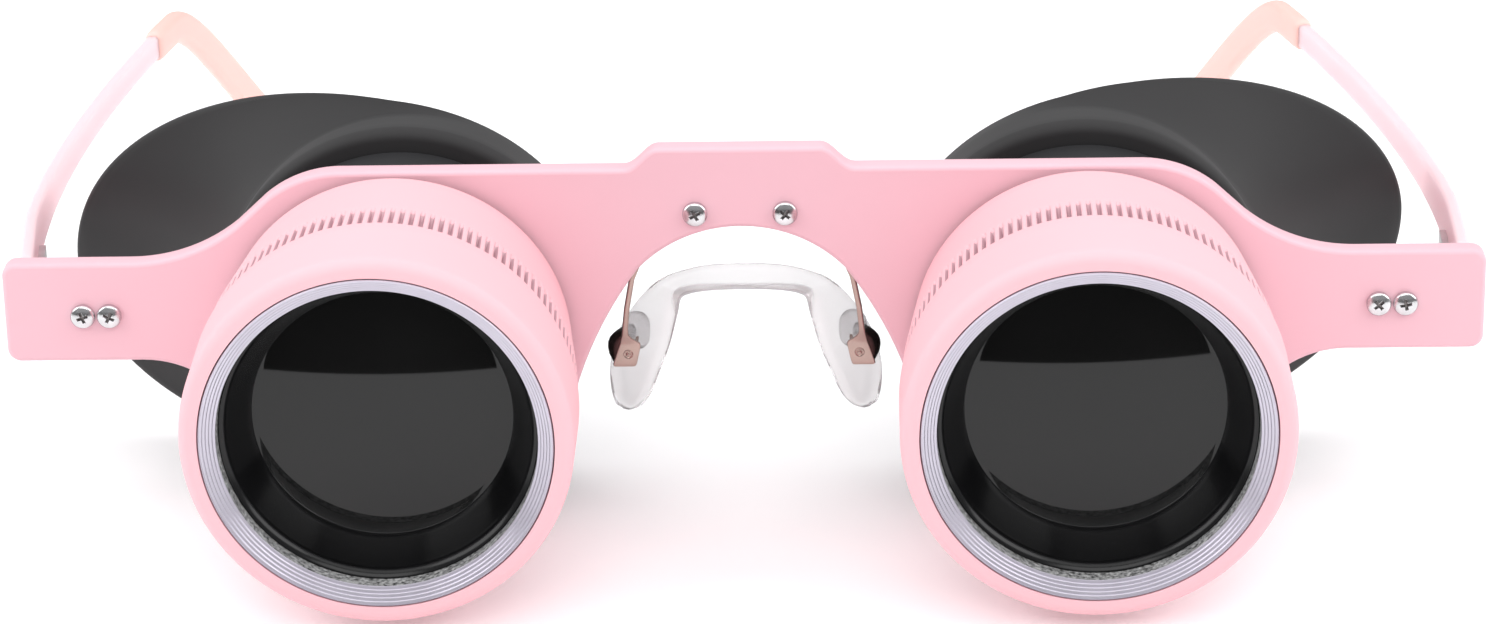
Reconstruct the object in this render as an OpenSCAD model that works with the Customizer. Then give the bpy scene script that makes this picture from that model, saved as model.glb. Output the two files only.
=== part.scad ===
// Hands-free binocular glasses: two small Galilean telescopes on a one-piece
// front plate, with folding arms, soft eyecups and a clear nose saddle.
// Worked out first in the wearer's frame: X to the right as seen from the
// front, Y from the front of the plate towards the face, Z up from the axis of
// the barrels. wearer_frame() then moves the origin to the middle of the
// underside.

/* [Front plate] */
// Overall width of the plate
plate_w = 172; // [164:1:180]
// Thickness of the plate
plate_t = 2.8; // [2.2:0.1:3.4]
// Distance between the two barrel axes
barrel_spacing = 80; // [78:0.5:82]
// Height of the long top edge above the barrel axis
plate_top = 20.4; // [20:0.1:21.2]
// Height of the raised middle of the top edge
brow_top = 22.9; // [22:0.1:24]
// Half width of the raised middle
brow_half_w = 9.3; // [8:0.1:11]
// Top edge of the end tabs
tab_top = 9.4; // [9:0.1:10]
// Bottom edge of the end tabs
tab_bottom = -2.8; // [-3.4:0.1:-2.4]
// Radius of the rounded lobe under each barrel
lobe_r = 21.6; // [21.2:0.1:21.8]
// Top of the nose arch
nose_top = 13.2; // [12.5:0.1:13.6]
// Radius of the nose arch
nose_r = 16.4; // [15.5:0.1:17.5]

/* [Barrels] */
// Clear radius of the objective lens behind the black cone
objective_r = 14.7; // [13.9:0.1:14.9]
// Wall of the fixed body tube, which carries the focus thread
tube_wall = 1.5; // [1.2:0.1:1.8]
// Width of the pink bezel round the bright ring
bezel_w = 2.15; // [1.9:0.05:2.4]
// Wall of the barrel at its rear edge
rear_wall = 1.1; // [0.95:0.05:1.5]
// How far the bezel stands ahead of the plate
barrel_front = 31.3; // [31:0.1:32]
// Gap between the barrel and the plate when it is screwed in
barrel_gap = 1; // [0.9:0.05:1.2]
// Number of grip ribs round the barrel
rib_count = 120; // [60:10:140]
// Ends of the ribbed band, measured ahead of the plate
rib_rear = 16.1; // [15:0.1:17]
// Front end of the ribbed band
rib_front = 19.3; // [18.5:0.1:20.5]
// Depth of the grooves between the ribs
rib_depth = 0.75; // [0.4:0.05:0.9]
// Width of the bright ring's funnel, from its outer edge to the mouth
funnel_w = 1.95; // [1.6:0.05:2.05]
// Depth of the bright ring's funnel
funnel_depth = 1.66; // [1.2:0.02:2.4]
// Number of steps in the bright ring
ring_steps = 5; // [3:1:8]

/* [Eyepieces] */
// Clear radius of the eyepiece lens
eye_lens_r = 12; // [10:0.5:12.4]
// Radius of the eyepiece tube that carries the eyecup
eye_tube_r = 15.5; // [15:0.1:16]

/* [Eyecups] */
// Outer radius of the round collar
collar_r = 21.9; // [21:0.1:22.2]
// Distance from the barrel axis to the tip of the wing
wing_reach = 41.2; // [36:0.1:41.6]
// Half height of the wing's rim
wing_half_h = 23.5; // [22.6:0.1:24]
// Distance from the barrel axis to the highest point of the rim
wing_peak = 7; // [5:0.5:9]
// How far the wing's tip lies behind the plate's front
wing_back = 29.5; // [26:0.5:31]
// Wall thickness of the wing
wing_wall = 1.6; // [1.2:0.1:2]
// How far each cup is turned on its eyepiece, in degrees
cup_turn = 3; // [0:0.5:5]

/* [Arms] */
// Top edge of the arms above the barrel axis
arm_top = 9; // [8:0.1:9.2]
// Thickness of the arms
arm_t = 1.6; // [1.4:0.1:2]
// Height of the arm at the hinge
arm_root_h = 9.4; // [8.5:0.1:10.5]
// Height of the arm where it enters the ear tip
arm_end_h = 3.1; // [2.9:0.1:3.4]
// Where the arm starts to bend down, behind the plate's front
arm_bend_y = 89; // [84:1:95]
// Thickness of the soft ear tip
tip_t = 2.4; // [2.3:0.1:3]
// Height of the soft ear tip
tip_h = 4.2; // [4:0.1:5]
// How far in the left arm is folded as it lies, in degrees
left_fold = 0; // [0:0.1:3]
// How far in the right arm is folded as it lies, in degrees
right_fold = 5.3; // [0:0.1:8]

/* [Nose saddle] */
// Depth of the saddle's band
saddle_depth = 5; // [4:0.1:6]
// Lowest point of the saddle's legs
saddle_bottom = -14; // [-15:0.1:-12]

/* [Hidden] */
$fn = 96;

pink = [0.98, 0.76, 0.82];
pale_pink = [1, 0.88, 0.9];
arm_pink = [0.98, 0.9, 0.92, 0.9];
tip_peach = [0.99, 0.88, 0.84, 0.9];
black = [0.12, 0.12, 0.13];
cup_black = [0.25, 0.25, 0.26];
bright = [0.8, 0.79, 0.83];
copper = [0.67, 0.57, 0.53];
clear = [0.93, 0.93, 0.95, 0.5];
lens_glass = [0.6, 0.65, 0.7, 0.5];

axis_x = barrel_spacing / 2;
slip = 0.08;
seat_gap = 0.05;
soft_gap = 0.3;

// Radii from the lens outwards: cell, body tube, barrel, bright ring
lens_rim = 1.2;
lens_r = objective_r + lens_rim;
cell_rim = 1.6;
cone_rim = 0.3;
cell_mouth_r = lens_r + cell_rim;
cell_wall = 1.4;
cell_skirt_r = lens_r + 2 * seat_gap;
cell_stop_r = lens_r - 1;
tube_bore_r = cell_skirt_r + cell_wall + slip;
tube_r = tube_bore_r + tube_wall;
barrel_bore_r = tube_r + slip;
barrel_rear_r = barrel_bore_r + rear_wall;
cell_rebate = 0.6;
cell_nose_r = tube_r - cell_rebate;
ring_skirt_w = 1.35;
ring_r = cell_nose_r + seat_gap + ring_skirt_w;
ring_lip = 0.1;
mouth_r = ring_r - ring_lip - funnel_w;
ring_bore_r = ring_r + slip;
bezel_r = ring_bore_r + bezel_w;
spigot_step = 0.98;
spigot_r = tube_bore_r - spigot_step;
spigot_wall = 2;

// Places along the barrel axis, behind the plate's front
ring_depth = 3.6;
ring_back = -barrel_front + ring_depth;
ring_skirt = 2;
ring_skirt_end = ring_back + ring_skirt;
cell_head = 3.9;
cell_head_end = ring_back + cell_head;
cone_length = 3.1;
cell_step_y = ring_back + cone_length;
cell_skirt = 14.8;
cell_skirt_end = cell_head_end + cell_skirt;
lens_depth = 5.2;
lens_front = ring_back + lens_depth;
lens_edge = 2.8;
lens_bulge = 1.3;
cone_lip = 0.4;
tube_setback = 4.3;
tube_front = cell_head_end + tube_setback;
tube_floor = 2;
spigot_length = 3.4;
spigot_end = plate_t + spigot_length;

// Grip band and bezel
rib_drop = 0.15;
rib_root = 0.1;
bezel_edge = 1.3;

// Snap ring behind the cell's head
snap_front = cell_head_end + seat_gap;
snap_t = 0.8;
snap_w = 1.32;
snap_step = 0.9;
snap_bore_r = tube_bore_r + snap_step;
snap_outer_r = snap_bore_r + snap_w;

// Eyepiece
nut_wall = 2.9;
nut_r = spigot_r + slip + nut_wall;
nut_length = 6.9;
nut_end = plate_t + nut_length;
nut_chamfer = 0.6;
eye_tube_length = 3;
eye_tube_end = nut_end + eye_tube_length;
eye_lens_rim = 1.6;
eye_seat_r = eye_lens_r + eye_lens_rim;
eye_lens_front = nut_end - 0.5;
eye_lens_edge = 1.8;
eye_flange_w = 1.1;
eye_flange_t = 1;
eye_ring_flange_r = eye_tube_r + eye_flange_w;

// Eyecup collar and wing
cup_front = nut_end + soft_gap;
cup_wall_end = eye_tube_end - soft_gap;
collar_wall = 1.8;
collar_edge = 1.3;
collar_depth = 6.3;
collar_end = cup_front + collar_depth;
wing_root_y = collar_end - 0.9;
nasal_rim_r = collar_r + 0.4;
nasal_rim_y = collar_end + 1.3;
wing_round = 2.05;

// Hinges, measured in from the ends of the plate
end_x = plate_w / 2;
hinge_z = 3;
hinge_screw_x = [end_x - 12.3, end_x - 9.2];
pivot_back = 2.5;
pivot = [end_x - 5.1, plate_t + pivot_back];
knuckle_r = 1.5;
knuckle_h = 1.8;
knuckle_gap = 0.05;
pin_r = 0.7;
hinge_plate_t = 1;
leaf_t = 0.8;
leaf_end = 12.4;
leaf_screw_y = [9.4, 13.4];
leaf_screw_r = 0.55;

// Screws
bridge_screw = [5.2, 15];
screw_head_r = 1.45;
screw_head_h = 0.95;
screw_r = 0.8;
recess_w = 0.34;

// Arms: the outer face runs straight at the hinge, then bows and turns in
arm_front = plate_t + soft_gap;
arm_heading = 6.5;
arm_outer_start = [end_x - 1.7, arm_front];
arm_straight = 14;
arm_taper_run = 18;
arm_bow = [end_x + 0.9, 41];
arm_turn_in = [end_x - 4.3, arm_bend_y - 15];
arm_bend = [end_x - 7.6, arm_bend_y];
arm_corner = 0.4;
tip_end = [end_x - 17, arm_bend_y + 29.5, -17.5];
tip_lead = 6.5;
tip_tail = 16;
tip_corner = 0.8;
sleeve_gap = 0.06;
sleeve_start = 0.86;

// Nose bracket and saddle
bracket_t = 0.7;
bracket_wire_r = 0.5;
box_x = 14.2;
box_z = -4.3;
box_size = [2.8, 2.6, 3.4];
box_front = 4.6;
box_wall = 0.4;
pad_screw_r = 0.45;
saddle_y = 8.6;
saddle_t = 1.5;
pad_t = 1.9;
pad_w = 10;
stem_end = 11.3;

// Smooth curve through two ends and two handles
function bezier(p, t) =
    pow(1 - t, 3) * p[0] + 3 * t * pow(1 - t, 2) * p[1] + 3 * t * t * (1 - t) * p[2] + pow(t, 3) * p[3];
function unit(v) = v / norm(v);
function arc(c, r, from, to, steps = 12) =
    [for (i = [0:steps]) let (a = from + (to - from) * i / steps) [c[0] + r * cos(a), c[1] + r * sin(a)]];
function after_first(points) = [for (i = [1:len(points) - 1]) points[i]];
function blend(a, b, t) = a + (b - a) * t;

// Closed skin over rings of equal size, with a flat cap at each end
module skin(rings) {
    count = len(rings[0]);
    last = len(rings) - 1;
    polyhedron(
        points = [for (ring = rings) each ring],
        faces = [
            [for (j = [count - 1:-1:0]) j],
            for (i = [0:last - 1]) for (j = [0:count - 1])
                let (a = i * count + j, b = i * count + (j + 1) % count, c = b + count, d = a + count)
                each [[a, b, c], [a, c, d]],
            [for (j = [0:count - 1]) last * count + j]
        ],
        convexity = 6
    );
}

// Ring of points round a flat strip: w along u, h along v, with round corners
function strip_ring(p, u, v, w, h, corner) = [
    for (q = [[1, 1], [-1, 1], [-1, -1], [1, -1]]) for (s = [0:3])
        let (
            base = q == [1, 1] ? 0 : q == [-1, 1] ? 90 : q == [-1, -1] ? 180 : 270,
            a = base + s * 30
        )
        p + u * (q[0] * (w / 2 - corner) + corner * cos(a)) + v * (q[1] * (h / 2 - corner) + corner * sin(a))
];

module wearer_frame() {
    translate([0, -mid_y, rest_z]) children();
}

// Places right-hand work on either side
module on_side(side) {
    wearer_frame()
        if (side == "left") mirror([1, 0, 0]) children();
        else children();
}

// The barrel frame: round work is drawn along Z and laid along Y
module on_axis(side) {
    on_side(side) translate([axis_x, 0, 0]) rotate([-90, 0, 0]) children();
}

// Turned profile whose points are [radius, distance behind the plate's front]
module turned(points) {
    rotate_extrude() polygon(points);
}

module tube(r_out, r_in, from, to) {
    difference() {
        translate([0, 0, from]) cylinder(r = r_out, h = to - from);
        translate([0, 0, from - 1]) cylinder(r = r_in, h = to - from + 2);
    }
}

// Half of the plate's outline, from the middle of the top round to the nose
top_bend_r = 13.7;
top_bend_a = 40;
top_bend_x = axis_x + 6;
tab_blend_r = 20;
tab_blend_x = end_x - 15;
lobe_blend_r = 12;
corner_r = 1.6;
brow_run = 4;
nose_corner_x = 12;
nose_corner = [nose_corner_x, nose_top - nose_r + sqrt(nose_r * nose_r - nose_corner_x * nose_corner_x)];
lobe_blend_dx = sqrt(pow(lobe_r + lobe_blend_r, 2) - pow(lobe_blend_r - tab_bottom, 2));
lobe_blend_a = atan2(tab_bottom - lobe_blend_r, lobe_blend_dx);
lobe_join_a = 198;
lobe_join = [axis_x + lobe_r * cos(lobe_join_a), lobe_r * sin(lobe_join_a)];
nose_side_r = 50;

// Centre of the arc of radius r that bulges to the left of the run from a to b
function arc_centre(a, b, r) =
    let (d = b - a, h = sqrt(r * r - d * d / 4), n = [-d[1], d[0]] / norm(d)) (a + b) / 2 - n * h;

function half_outline() = let (side_c = arc_centre(nose_corner, lobe_join, nose_side_r)) concat(
    [[brow_half_w, brow_top]],
    [for (i = [1:6]) let (t = i / 6)
        [brow_half_w + brow_run * t, brow_top - (brow_top - plate_top) * (1 - cos(180 * t)) / 2]],
    arc([top_bend_x, plate_top - top_bend_r], top_bend_r, 90, 90 - top_bend_a),
    arc([tab_blend_x, tab_top + tab_blend_r], tab_blend_r, 270 - top_bend_a, 270),
    arc([end_x - corner_r, tab_top - corner_r], corner_r, 90, 0, 6),
    arc([end_x - corner_r, tab_bottom + corner_r], corner_r, 0, -90, 6),
    arc([axis_x + lobe_blend_dx, tab_bottom - lobe_blend_r], lobe_blend_r, 90, 180 + lobe_blend_a, 8),
    after_first(arc([axis_x, 0], lobe_r, lobe_blend_a, lobe_join_a - 360, 48)),
    let (
        a0 = atan2(lobe_join[1] - side_c[1], lobe_join[0] - side_c[0]),
        a1 = atan2(nose_corner[1] - side_c[1], nose_corner[0] - side_c[0])
    ) after_first(arc(side_c, nose_side_r, a0, a1, 6)),
    let (a = atan2(nose_corner[1] - nose_top + nose_r, nose_corner[0]))
        after_first(arc([0, nose_top - nose_r], nose_r, a, 90, 8))
);

module front_plate() {
    right_half = half_outline();
    left_half = [for (i = [len(right_half) - 2:-1:0]) [-right_half[i][0], right_half[i][1]]];
    color(pink) wearer_frame() difference() {
        translate([0, plate_t, 0]) rotate([90, 0, 0])
            linear_extrude(plate_t) polygon(concat(right_half, left_half));
        for (s = [-1, 1]) {
            translate([s * axis_x, -1, 0]) rotate([-90, 0, 0]) cylinder(r = spigot_r + slip, h = plate_t + 2);
            for (x = hinge_screw_x) screw_hole([s * x, hinge_z]);
            screw_hole([s * bridge_screw[0], bridge_screw[1]]);
        }
    }
}

module screw_hole(at) {
    translate([at[0], -1, at[1]]) rotate([-90, 0, 0])
        cylinder(r = screw_r + seat_gap, h = plate_t + 4, $fn = 32);
}

// Pan-head cross-recess screw standing on the plate's front
module plate_screw(at, reach) {
    translate([at[0], 0, at[1]]) rotate([90, 0, 0]) difference() {
        union() {
            cylinder(r = screw_head_r, h = screw_head_h * 0.4, $fn = 48);
            translate([0, 0, screw_head_h * 0.4]) cylinder(r1 = screw_head_r, r2 = screw_head_r * 0.62,
                h = screw_head_h * 0.6, $fn = 48);
            translate([0, 0, -reach]) cylinder(r = screw_r, h = reach + 0.1, $fn = 32);
        }
        for (a = [0, 90]) rotate(a + 20)
            translate([-screw_head_r * 0.6, -recess_w / 2, screw_head_h * 0.45])
            cube([screw_head_r * 1.2, recess_w, screw_head_h]);
    }
}

module bridge_screws() {
    color(bright) wearer_frame()
        for (s = [-1, 1]) plate_screw([s * bridge_screw[0], bridge_screw[1]], plate_t + bracket_t);
}

module hinge_screws() {
    color(bright) wearer_frame()
        for (s = [-1, 1]) for (x = hinge_screw_x) plate_screw([s * x, hinge_z], plate_t + hinge_plate_t);
}

// Fixed black tube: a threaded sleeve ahead of the plate, a spigot through it
module body_tube() {
    color(black) difference() {
        union() {
            translate([0, 0, tube_front]) cylinder(r = tube_r, h = -tube_front);
            translate([0, 0, -0.1]) cylinder(r = spigot_r, h = spigot_end + 0.1);
        }
        translate([0, 0, tube_front - 1]) cylinder(r = tube_bore_r, h = -tube_front - tube_floor + 1);
        translate([0, 0, -tube_floor - 1])
            cylinder(r = spigot_r - spigot_wall, h = spigot_end + tube_floor + 2);
    }
}

// Rear nut and eyepiece tube in one: clamps the plate and holds the lens
module eyepiece_housing() {
    color(black) turned([
        [nut_r, plate_t], [nut_r, nut_end - nut_chamfer], [nut_r - nut_chamfer, nut_end],
        [eye_tube_r, nut_end], [eye_tube_r, eye_tube_end],
        [eye_seat_r, eye_tube_end], [eye_seat_r, eye_lens_front],
        [eye_lens_r + 0.6, eye_lens_front], [eye_lens_r + 0.6, spigot_end + 0.1],
        [spigot_r + slip, spigot_end + 0.1], [spigot_r + slip, plate_t]
    ]);
}

// Points of a lens surface from its centre out to radius r, rising by sag
function lens_face(r, z, sag, steps = 8) =
    [for (i = [0:steps]) let (t = i / steps) [r * t, z + sag * t * t]];
function reversed(points) = [for (i = [len(points) - 1:-1:0]) points[i]];

// Hollow-ground eyepiece lens
module eyepiece_lens() {
    hollow = 0.55;
    edge_r = eye_seat_r - seat_gap;
    color(lens_glass) turned(concat(
        lens_face(edge_r, eye_lens_front + hollow, -hollow),
        reversed(lens_face(edge_r, eye_lens_front + eye_lens_edge - hollow, hollow))
    ));
}

// Threaded ring that holds the eyepiece lens and traps the eyecup
module eyepiece_ring() {
    color(black) turned([
        [eye_lens_r, eye_lens_front + eye_lens_edge], [eye_seat_r - seat_gap, eye_lens_front + eye_lens_edge],
        [eye_seat_r - seat_gap, eye_tube_end], [eye_ring_flange_r, eye_tube_end],
        [eye_ring_flange_r, eye_tube_end + eye_flange_t * 0.6],
        [eye_ring_flange_r - 0.4, eye_tube_end + eye_flange_t],
        [eye_lens_r + eye_flange_t, eye_tube_end + eye_flange_t], [eye_lens_r, eye_tube_end]
    ]);
}

// Rim of the eyecup a turn of t round it, seen along the barrel axis
function rounded(s) = sign(s) * pow(abs(s), 2 / wing_round);
function rim_at(t) =
    let (half = cos(t) > 0 ? wing_reach - wing_peak : wing_peak + nasal_rim_r)
    [wing_peak + half * rounded(cos(t)), wing_half_h * rounded(sin(t))];
function rim_y(x) = nasal_rim_y + (wing_back - nasal_rim_y) * pow(max(0, x) / wing_reach, 1.1);
// Round cross-section of the wing, from its root on the collar over the rim and back
wing_turns = 48;
wing_spans = 5;
function wing_section(spot) =
    let (
        root = [collar_r - collar_wall / 2, wing_root_y],
        rim = [norm(spot), rim_y(spot[0])],
        bend = [blend(root[0], rim[0], 0.35), blend(root[1], rim[1], 0.62)],
        inner_root = root + [0, wing_wall],
        inner_rim = rim + [-wing_wall * 0.9, wing_wall * 0.25],
        inner_bend = bend + [-wing_wall * 0.75, wing_wall * 0.75]
    )
    concat(
        [for (i = [0:wing_spans]) let (t = i / wing_spans)
            pow(1 - t, 2) * root + 2 * t * (1 - t) * bend + t * t * rim],
        [rim + [-wing_wall * 0.35, wing_wall * 0.3]],
        [for (i = [wing_spans:-1:0]) let (t = i / wing_spans)
            pow(1 - t, 2) * inner_root + 2 * t * (1 - t) * inner_bend + t * t * inner_rim]
    );

// Ring-shaped skin: each section joins the next, and the last joins the first
module closed_loop(sections) {
    count = len(sections[0]);
    total = len(sections);
    polyhedron(
        points = [for (section = sections) each section],
        faces = [
            for (i = [0:total - 1]) for (j = [0:count - 1])
                let (
                    k = (i + 1) % total, m = (j + 1) % count,
                    a = i * count + j, b = i * count + m, c = k * count + m, d = k * count + j
                )
                each [[a, c, b], [a, d, c]]
        ],
        convexity = 8
    );
}

// One-piece silicone eyecup: a collar on the eyepiece tube and a wing that
// sweeps back on the temple side
module eyecup() {
    color(cup_black) union() {
        turned(concat(
            [[eye_tube_r + seat_gap, cup_front]],
            arc([collar_r - collar_edge, cup_front + collar_edge], collar_edge, -90, 0, 6),
            [
                [collar_r, collar_end], [collar_r - collar_wall, collar_end],
                [collar_r - collar_wall, cup_wall_end], [eye_tube_r + seat_gap, cup_wall_end]
            ]
        ));
        closed_loop([
            for (k = [0:wing_turns - 1])
                let (spot = rim_at(k * 360 / wing_turns), way = unit(spot))
                [for (s = wing_section(spot)) [s[0] * way[0], -s[0] * way[1], s[1]]]
        ]);
    }
}

// Black inner cell that carries the objective and slides without turning
module objective_tube() {
    lens_back = lens_front + lens_edge;
    stop_t = 0.8;
    color(black) turned([
        [cell_mouth_r, ring_back], [cell_nose_r, ring_back],
        [cell_nose_r, ring_skirt_end + seat_gap], [tube_r, ring_skirt_end + seat_gap],
        [tube_r, cell_head_end],
        [tube_bore_r - slip, cell_head_end], [tube_bore_r - slip, cell_skirt_end],
        [cell_skirt_r, cell_skirt_end], [cell_skirt_r, lens_back + stop_t], [cell_stop_r, lens_back + stop_t],
        [cell_stop_r, lens_back], [lens_r + seat_gap, lens_back], [lens_r + seat_gap, cell_step_y],
        [cell_mouth_r, cell_step_y]
    ]);
}

// Black cone in the mouth that holds the lens from the front
module lens_cone() {
    flange_r = mouth_r - seat_gap;
    flange_front = ring_back - 0.4;
    body_r = cell_mouth_r - seat_gap;
    sleeve_r = lens_r - seat_gap;
    color(black) turned([
        [flange_r, flange_front], [flange_r, ring_back], [body_r, ring_back], [body_r, cell_step_y],
        [sleeve_r, cell_step_y], [sleeve_r, lens_front], [objective_r, lens_front],
        [objective_r, lens_front - cone_lip], [body_r - cone_rim, ring_back],
        [flange_r - cone_rim / 3, flange_front]
    ]);
}

// Objective lens, bulging forward
module objective_lens() {
    color(lens_glass) turned(concat(
        lens_face(objective_r - seat_gap, lens_front - lens_bulge, lens_bulge),
        [[lens_r, lens_front], [lens_r, lens_front + lens_edge], [0, lens_front + lens_edge]]
    ));
}

// Bright ring: a stepped funnel in front of the lens and a skirt over the cell
module lens_ring() {
    step_r = funnel_w / ring_steps;
    step_y = funnel_depth / ring_steps;
    color(bright) turned(concat(
        [[ring_r, -barrel_front]],
        [for (i = [0:ring_steps - 1]) each [
            [ring_r - ring_lip - i * step_r, -barrel_front + i * step_y],
            [ring_r - ring_lip - (i + 0.8) * step_r, -barrel_front + (i + 0.25) * step_y]
        ]],
        [
            [mouth_r, -barrel_front + funnel_depth], [mouth_r, ring_back],
            [cell_nose_r + seat_gap, ring_back], [cell_nose_r + seat_gap, ring_skirt_end],
            [ring_r, ring_skirt_end]
        ]
    ));
}

// Pink outer barrel that is turned to focus
module focus_barrel() {
    shoulder = ring_skirt_end + soft_gap;
    groove_r = snap_outer_r + seat_gap;
    rib_top_r = bezel_r - rib_drop - seat_gap;
    band_r = rib_top_r - rib_depth;
    color(pale_pink) union() {
        turned(concat(
            [
                [barrel_bore_r, -barrel_gap], [barrel_rear_r - 0.3, -barrel_gap],
                [barrel_rear_r, -barrel_gap - 0.3]
            ],
            [[bezel_r - 0.45, -rib_rear], [band_r, -rib_rear - 0.1], [band_r, -rib_front],
                [bezel_r - rib_drop, -rib_front], [bezel_r, -rib_front - 0.3]],
            arc([bezel_r - bezel_edge, -barrel_front + bezel_edge], bezel_edge, 0, -90, 8),
            [
                [ring_bore_r, -barrel_front], [ring_bore_r, shoulder], [barrel_bore_r, shoulder],
                [barrel_bore_r, snap_front - seat_gap], [groove_r, snap_front - seat_gap],
                [groove_r, snap_front + snap_t + seat_gap], [barrel_bore_r, snap_front + snap_t + seat_gap]
            ]
        ));
        translate([0, 0, -rib_front]) linear_extrude(rib_front - rib_rear) difference() {
            polygon([for (i = [0:rib_count - 1]) each [
                for (q = [[0.04, band_r - rib_root], [0.16, rib_top_r],
                    [0.56, rib_top_r], [0.68, band_r - rib_root]])
                    let (a = (i + q[0]) * 360 / rib_count) q[1] * [cos(a), sin(a)]
            ]]);
            circle(r = band_r - 5 * rib_root);
        }
    }
}

// Split spring ring in the barrel's groove, behind the cell's head
module snap_ring() {
    color(bright) difference() {
        tube(snap_outer_r, snap_bore_r, snap_front, snap_front + snap_t);
        translate([0, -1, snap_front - 1]) cube([snap_outer_r + 1, 2, snap_t + 2]);
    }
}

// Fixed half of the hinge, behind the end tab
module hinge_plate() {
    plate_x = [hinge_screw_x[0] - 2.3, pivot[0]];
    half_h = knuckle_h * 1.5 + knuckle_gap * 2;
    color(bright) difference() {
        union() {
            translate([plate_x[0], plate_t, hinge_z - half_h])
                cube([plate_x[1] - plate_x[0], hinge_plate_t, 2 * half_h]);
            for (s = [-1, 1]) translate([0, 0, hinge_z + s * (knuckle_h + 2 * knuckle_gap) - knuckle_h / 2]) {
                translate([pivot[0], pivot[1], 0]) cylinder(r = knuckle_r, h = knuckle_h, $fn = 48);
                translate([pivot[0] - knuckle_r, plate_t, 0])
                    cube([knuckle_r * 1.6, pivot[1] - plate_t, knuckle_h]);
            }
        }
        translate([pivot[0], pivot[1], hinge_z - 5]) cylinder(r = pin_r + seat_gap, h = 10, $fn = 48);
        for (x = hinge_screw_x) screw_hole([x, hinge_z]);
        translate([pivot[0], pivot[1], hinge_z - knuckle_h / 2 - knuckle_gap])
            cylinder(r = knuckle_r + 0.15, h = knuckle_h + 2 * knuckle_gap, $fn = 48);
    }
}

module hinge_pin() {
    top = hinge_z + knuckle_h * 1.5 + knuckle_gap * 3;
    color(bright) translate([pivot[0], pivot[1], 0]) {
        translate([0, 0, hinge_z - knuckle_h * 1.5 - 0.4])
            cylinder(r = pin_r, h = knuckle_h * 3 + 0.6, $fn = 48);
        difference() {
            translate([0, 0, top]) cylinder(r = 1.3, h = 0.7, $fn = 48);
            translate([-1.5, -0.15, top + 0.35]) cube([3, 0.3, 1]);
        }
    }
}

// Turns work on one arm about its hinge to where the arm lies
module folded(side) {
    fold = side == "left" ? left_fold : right_fold;
    on_side(side) translate([pivot[0], pivot[1], 0]) rotate(fold)
        translate([-pivot[0], -pivot[1], 0]) children();
}

// Frame along the straight root of the arm: X outwards from its inner face
module arm_root_frame() {
    translate([arm_outer_start[0], arm_outer_start[1], 0]) rotate(-arm_heading)
        translate([-arm_t, 0, 0]) children();
}

// Height of the arm at distance y behind the plate's front
function arm_h(y) = arm_end_h + (arm_root_h - arm_end_h) * exp(-(y - arm_front) / arm_taper_run);
// Middle of the arm, from the hinge to the bend and on towards the tip's end
arm_curve = [
    arm_outer_start + arm_straight * [sin(arm_heading), cos(arm_heading)], arm_bow, arm_turn_in, arm_bend
];
arm_end_dir = unit([arm_bend[0] - arm_turn_in[0], arm_bend[1] - arm_turn_in[1], 0]);
arm_end_mid = [arm_bend[0], arm_bend[1], arm_top - arm_end_h / 2];
tip_tail_dir = unit([0.34, -0.6, 0.75]);
tip_curve = [arm_end_mid, arm_end_mid + tip_lead * arm_end_dir, tip_end + tip_tail * tip_tail_dir, tip_end];
// Place and direction along the arm: 0 to 1 is the bow, 1 to 2 the ear tip
function arm_at(t) =
    t > 1 ? bezier(tip_curve, t - 1)
    : let (p = bezier(arm_curve, t)) [p[0], p[1], arm_top - arm_h(p[1]) / 2];
function arm_dir(t) = unit(arm_at(t + 0.005) - arm_at(t - 0.005));
function arm_side(t) = let (d = arm_dir(t)) unit([d[1], -d[0], 0]);
function arm_ring(t, w, h, corner) =
    let (n = arm_side(t), d = arm_dir(t)) strip_ring(arm_at(t) - n * arm_t / 2, n, cross(n, d), w, h, corner);

// The last sections of the ear tip, where its end is rounded off
tip_rings = [
    arm_ring(1.96, tip_t, tip_h, tip_corner),
    arm_ring(1.985, tip_t * 0.9, tip_h * 0.85, tip_corner),
    arm_ring(2, tip_t * 0.55, tip_h * 0.5, tip_corner * 0.6)
];
// Middle of the depth, from the bezels to the ends of the ear tips
mid_y = (max([for (ring = tip_rings) each [for (p = ring) p[1]]]) - barrel_front) / 2;
// Lowest point of the eyecups, on which the glasses lie
rest_z = max([for (k = [0:wing_turns - 1])
    let (spot = rim_at(k * 360 / wing_turns)) spot[0] * sin(cup_turn) + spot[1] * cos(cup_turn)]);

// Translucent arm that runs on inside the ear tip
module temple_arm() {
    root_n = [cos(arm_heading), -sin(arm_heading), 0];
    color(arm_pink) difference() {
        skin(concat(
            [for (t = [0, 0.5, 1])
                let (
                    p = arm_outer_start + t * arm_straight * [sin(arm_heading), cos(arm_heading)],
                    h = arm_h(p[1])
                )
                strip_ring(
                    [p[0], p[1], arm_top - h / 2] - root_n * arm_t / 2, root_n, [0, 0, 1],
                    arm_t, h, arm_corner
                )],
            [for (t = [0.06:0.08:sleeve_start]) arm_ring(t, arm_t, arm_h(arm_at(t)[1]), arm_corner)],
            [for (t = [sleeve_start + 0.04:0.08:1.5]) arm_ring(t, arm_t, arm_end_h, arm_corner)]
        ));
        arm_root_frame() for (y = leaf_screw_y) translate([-1, y - arm_front, hinge_z])
            rotate([0, 90, 0]) cylinder(r = leaf_screw_r + seat_gap, h = 2, $fn = 24);
    }
}

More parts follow.
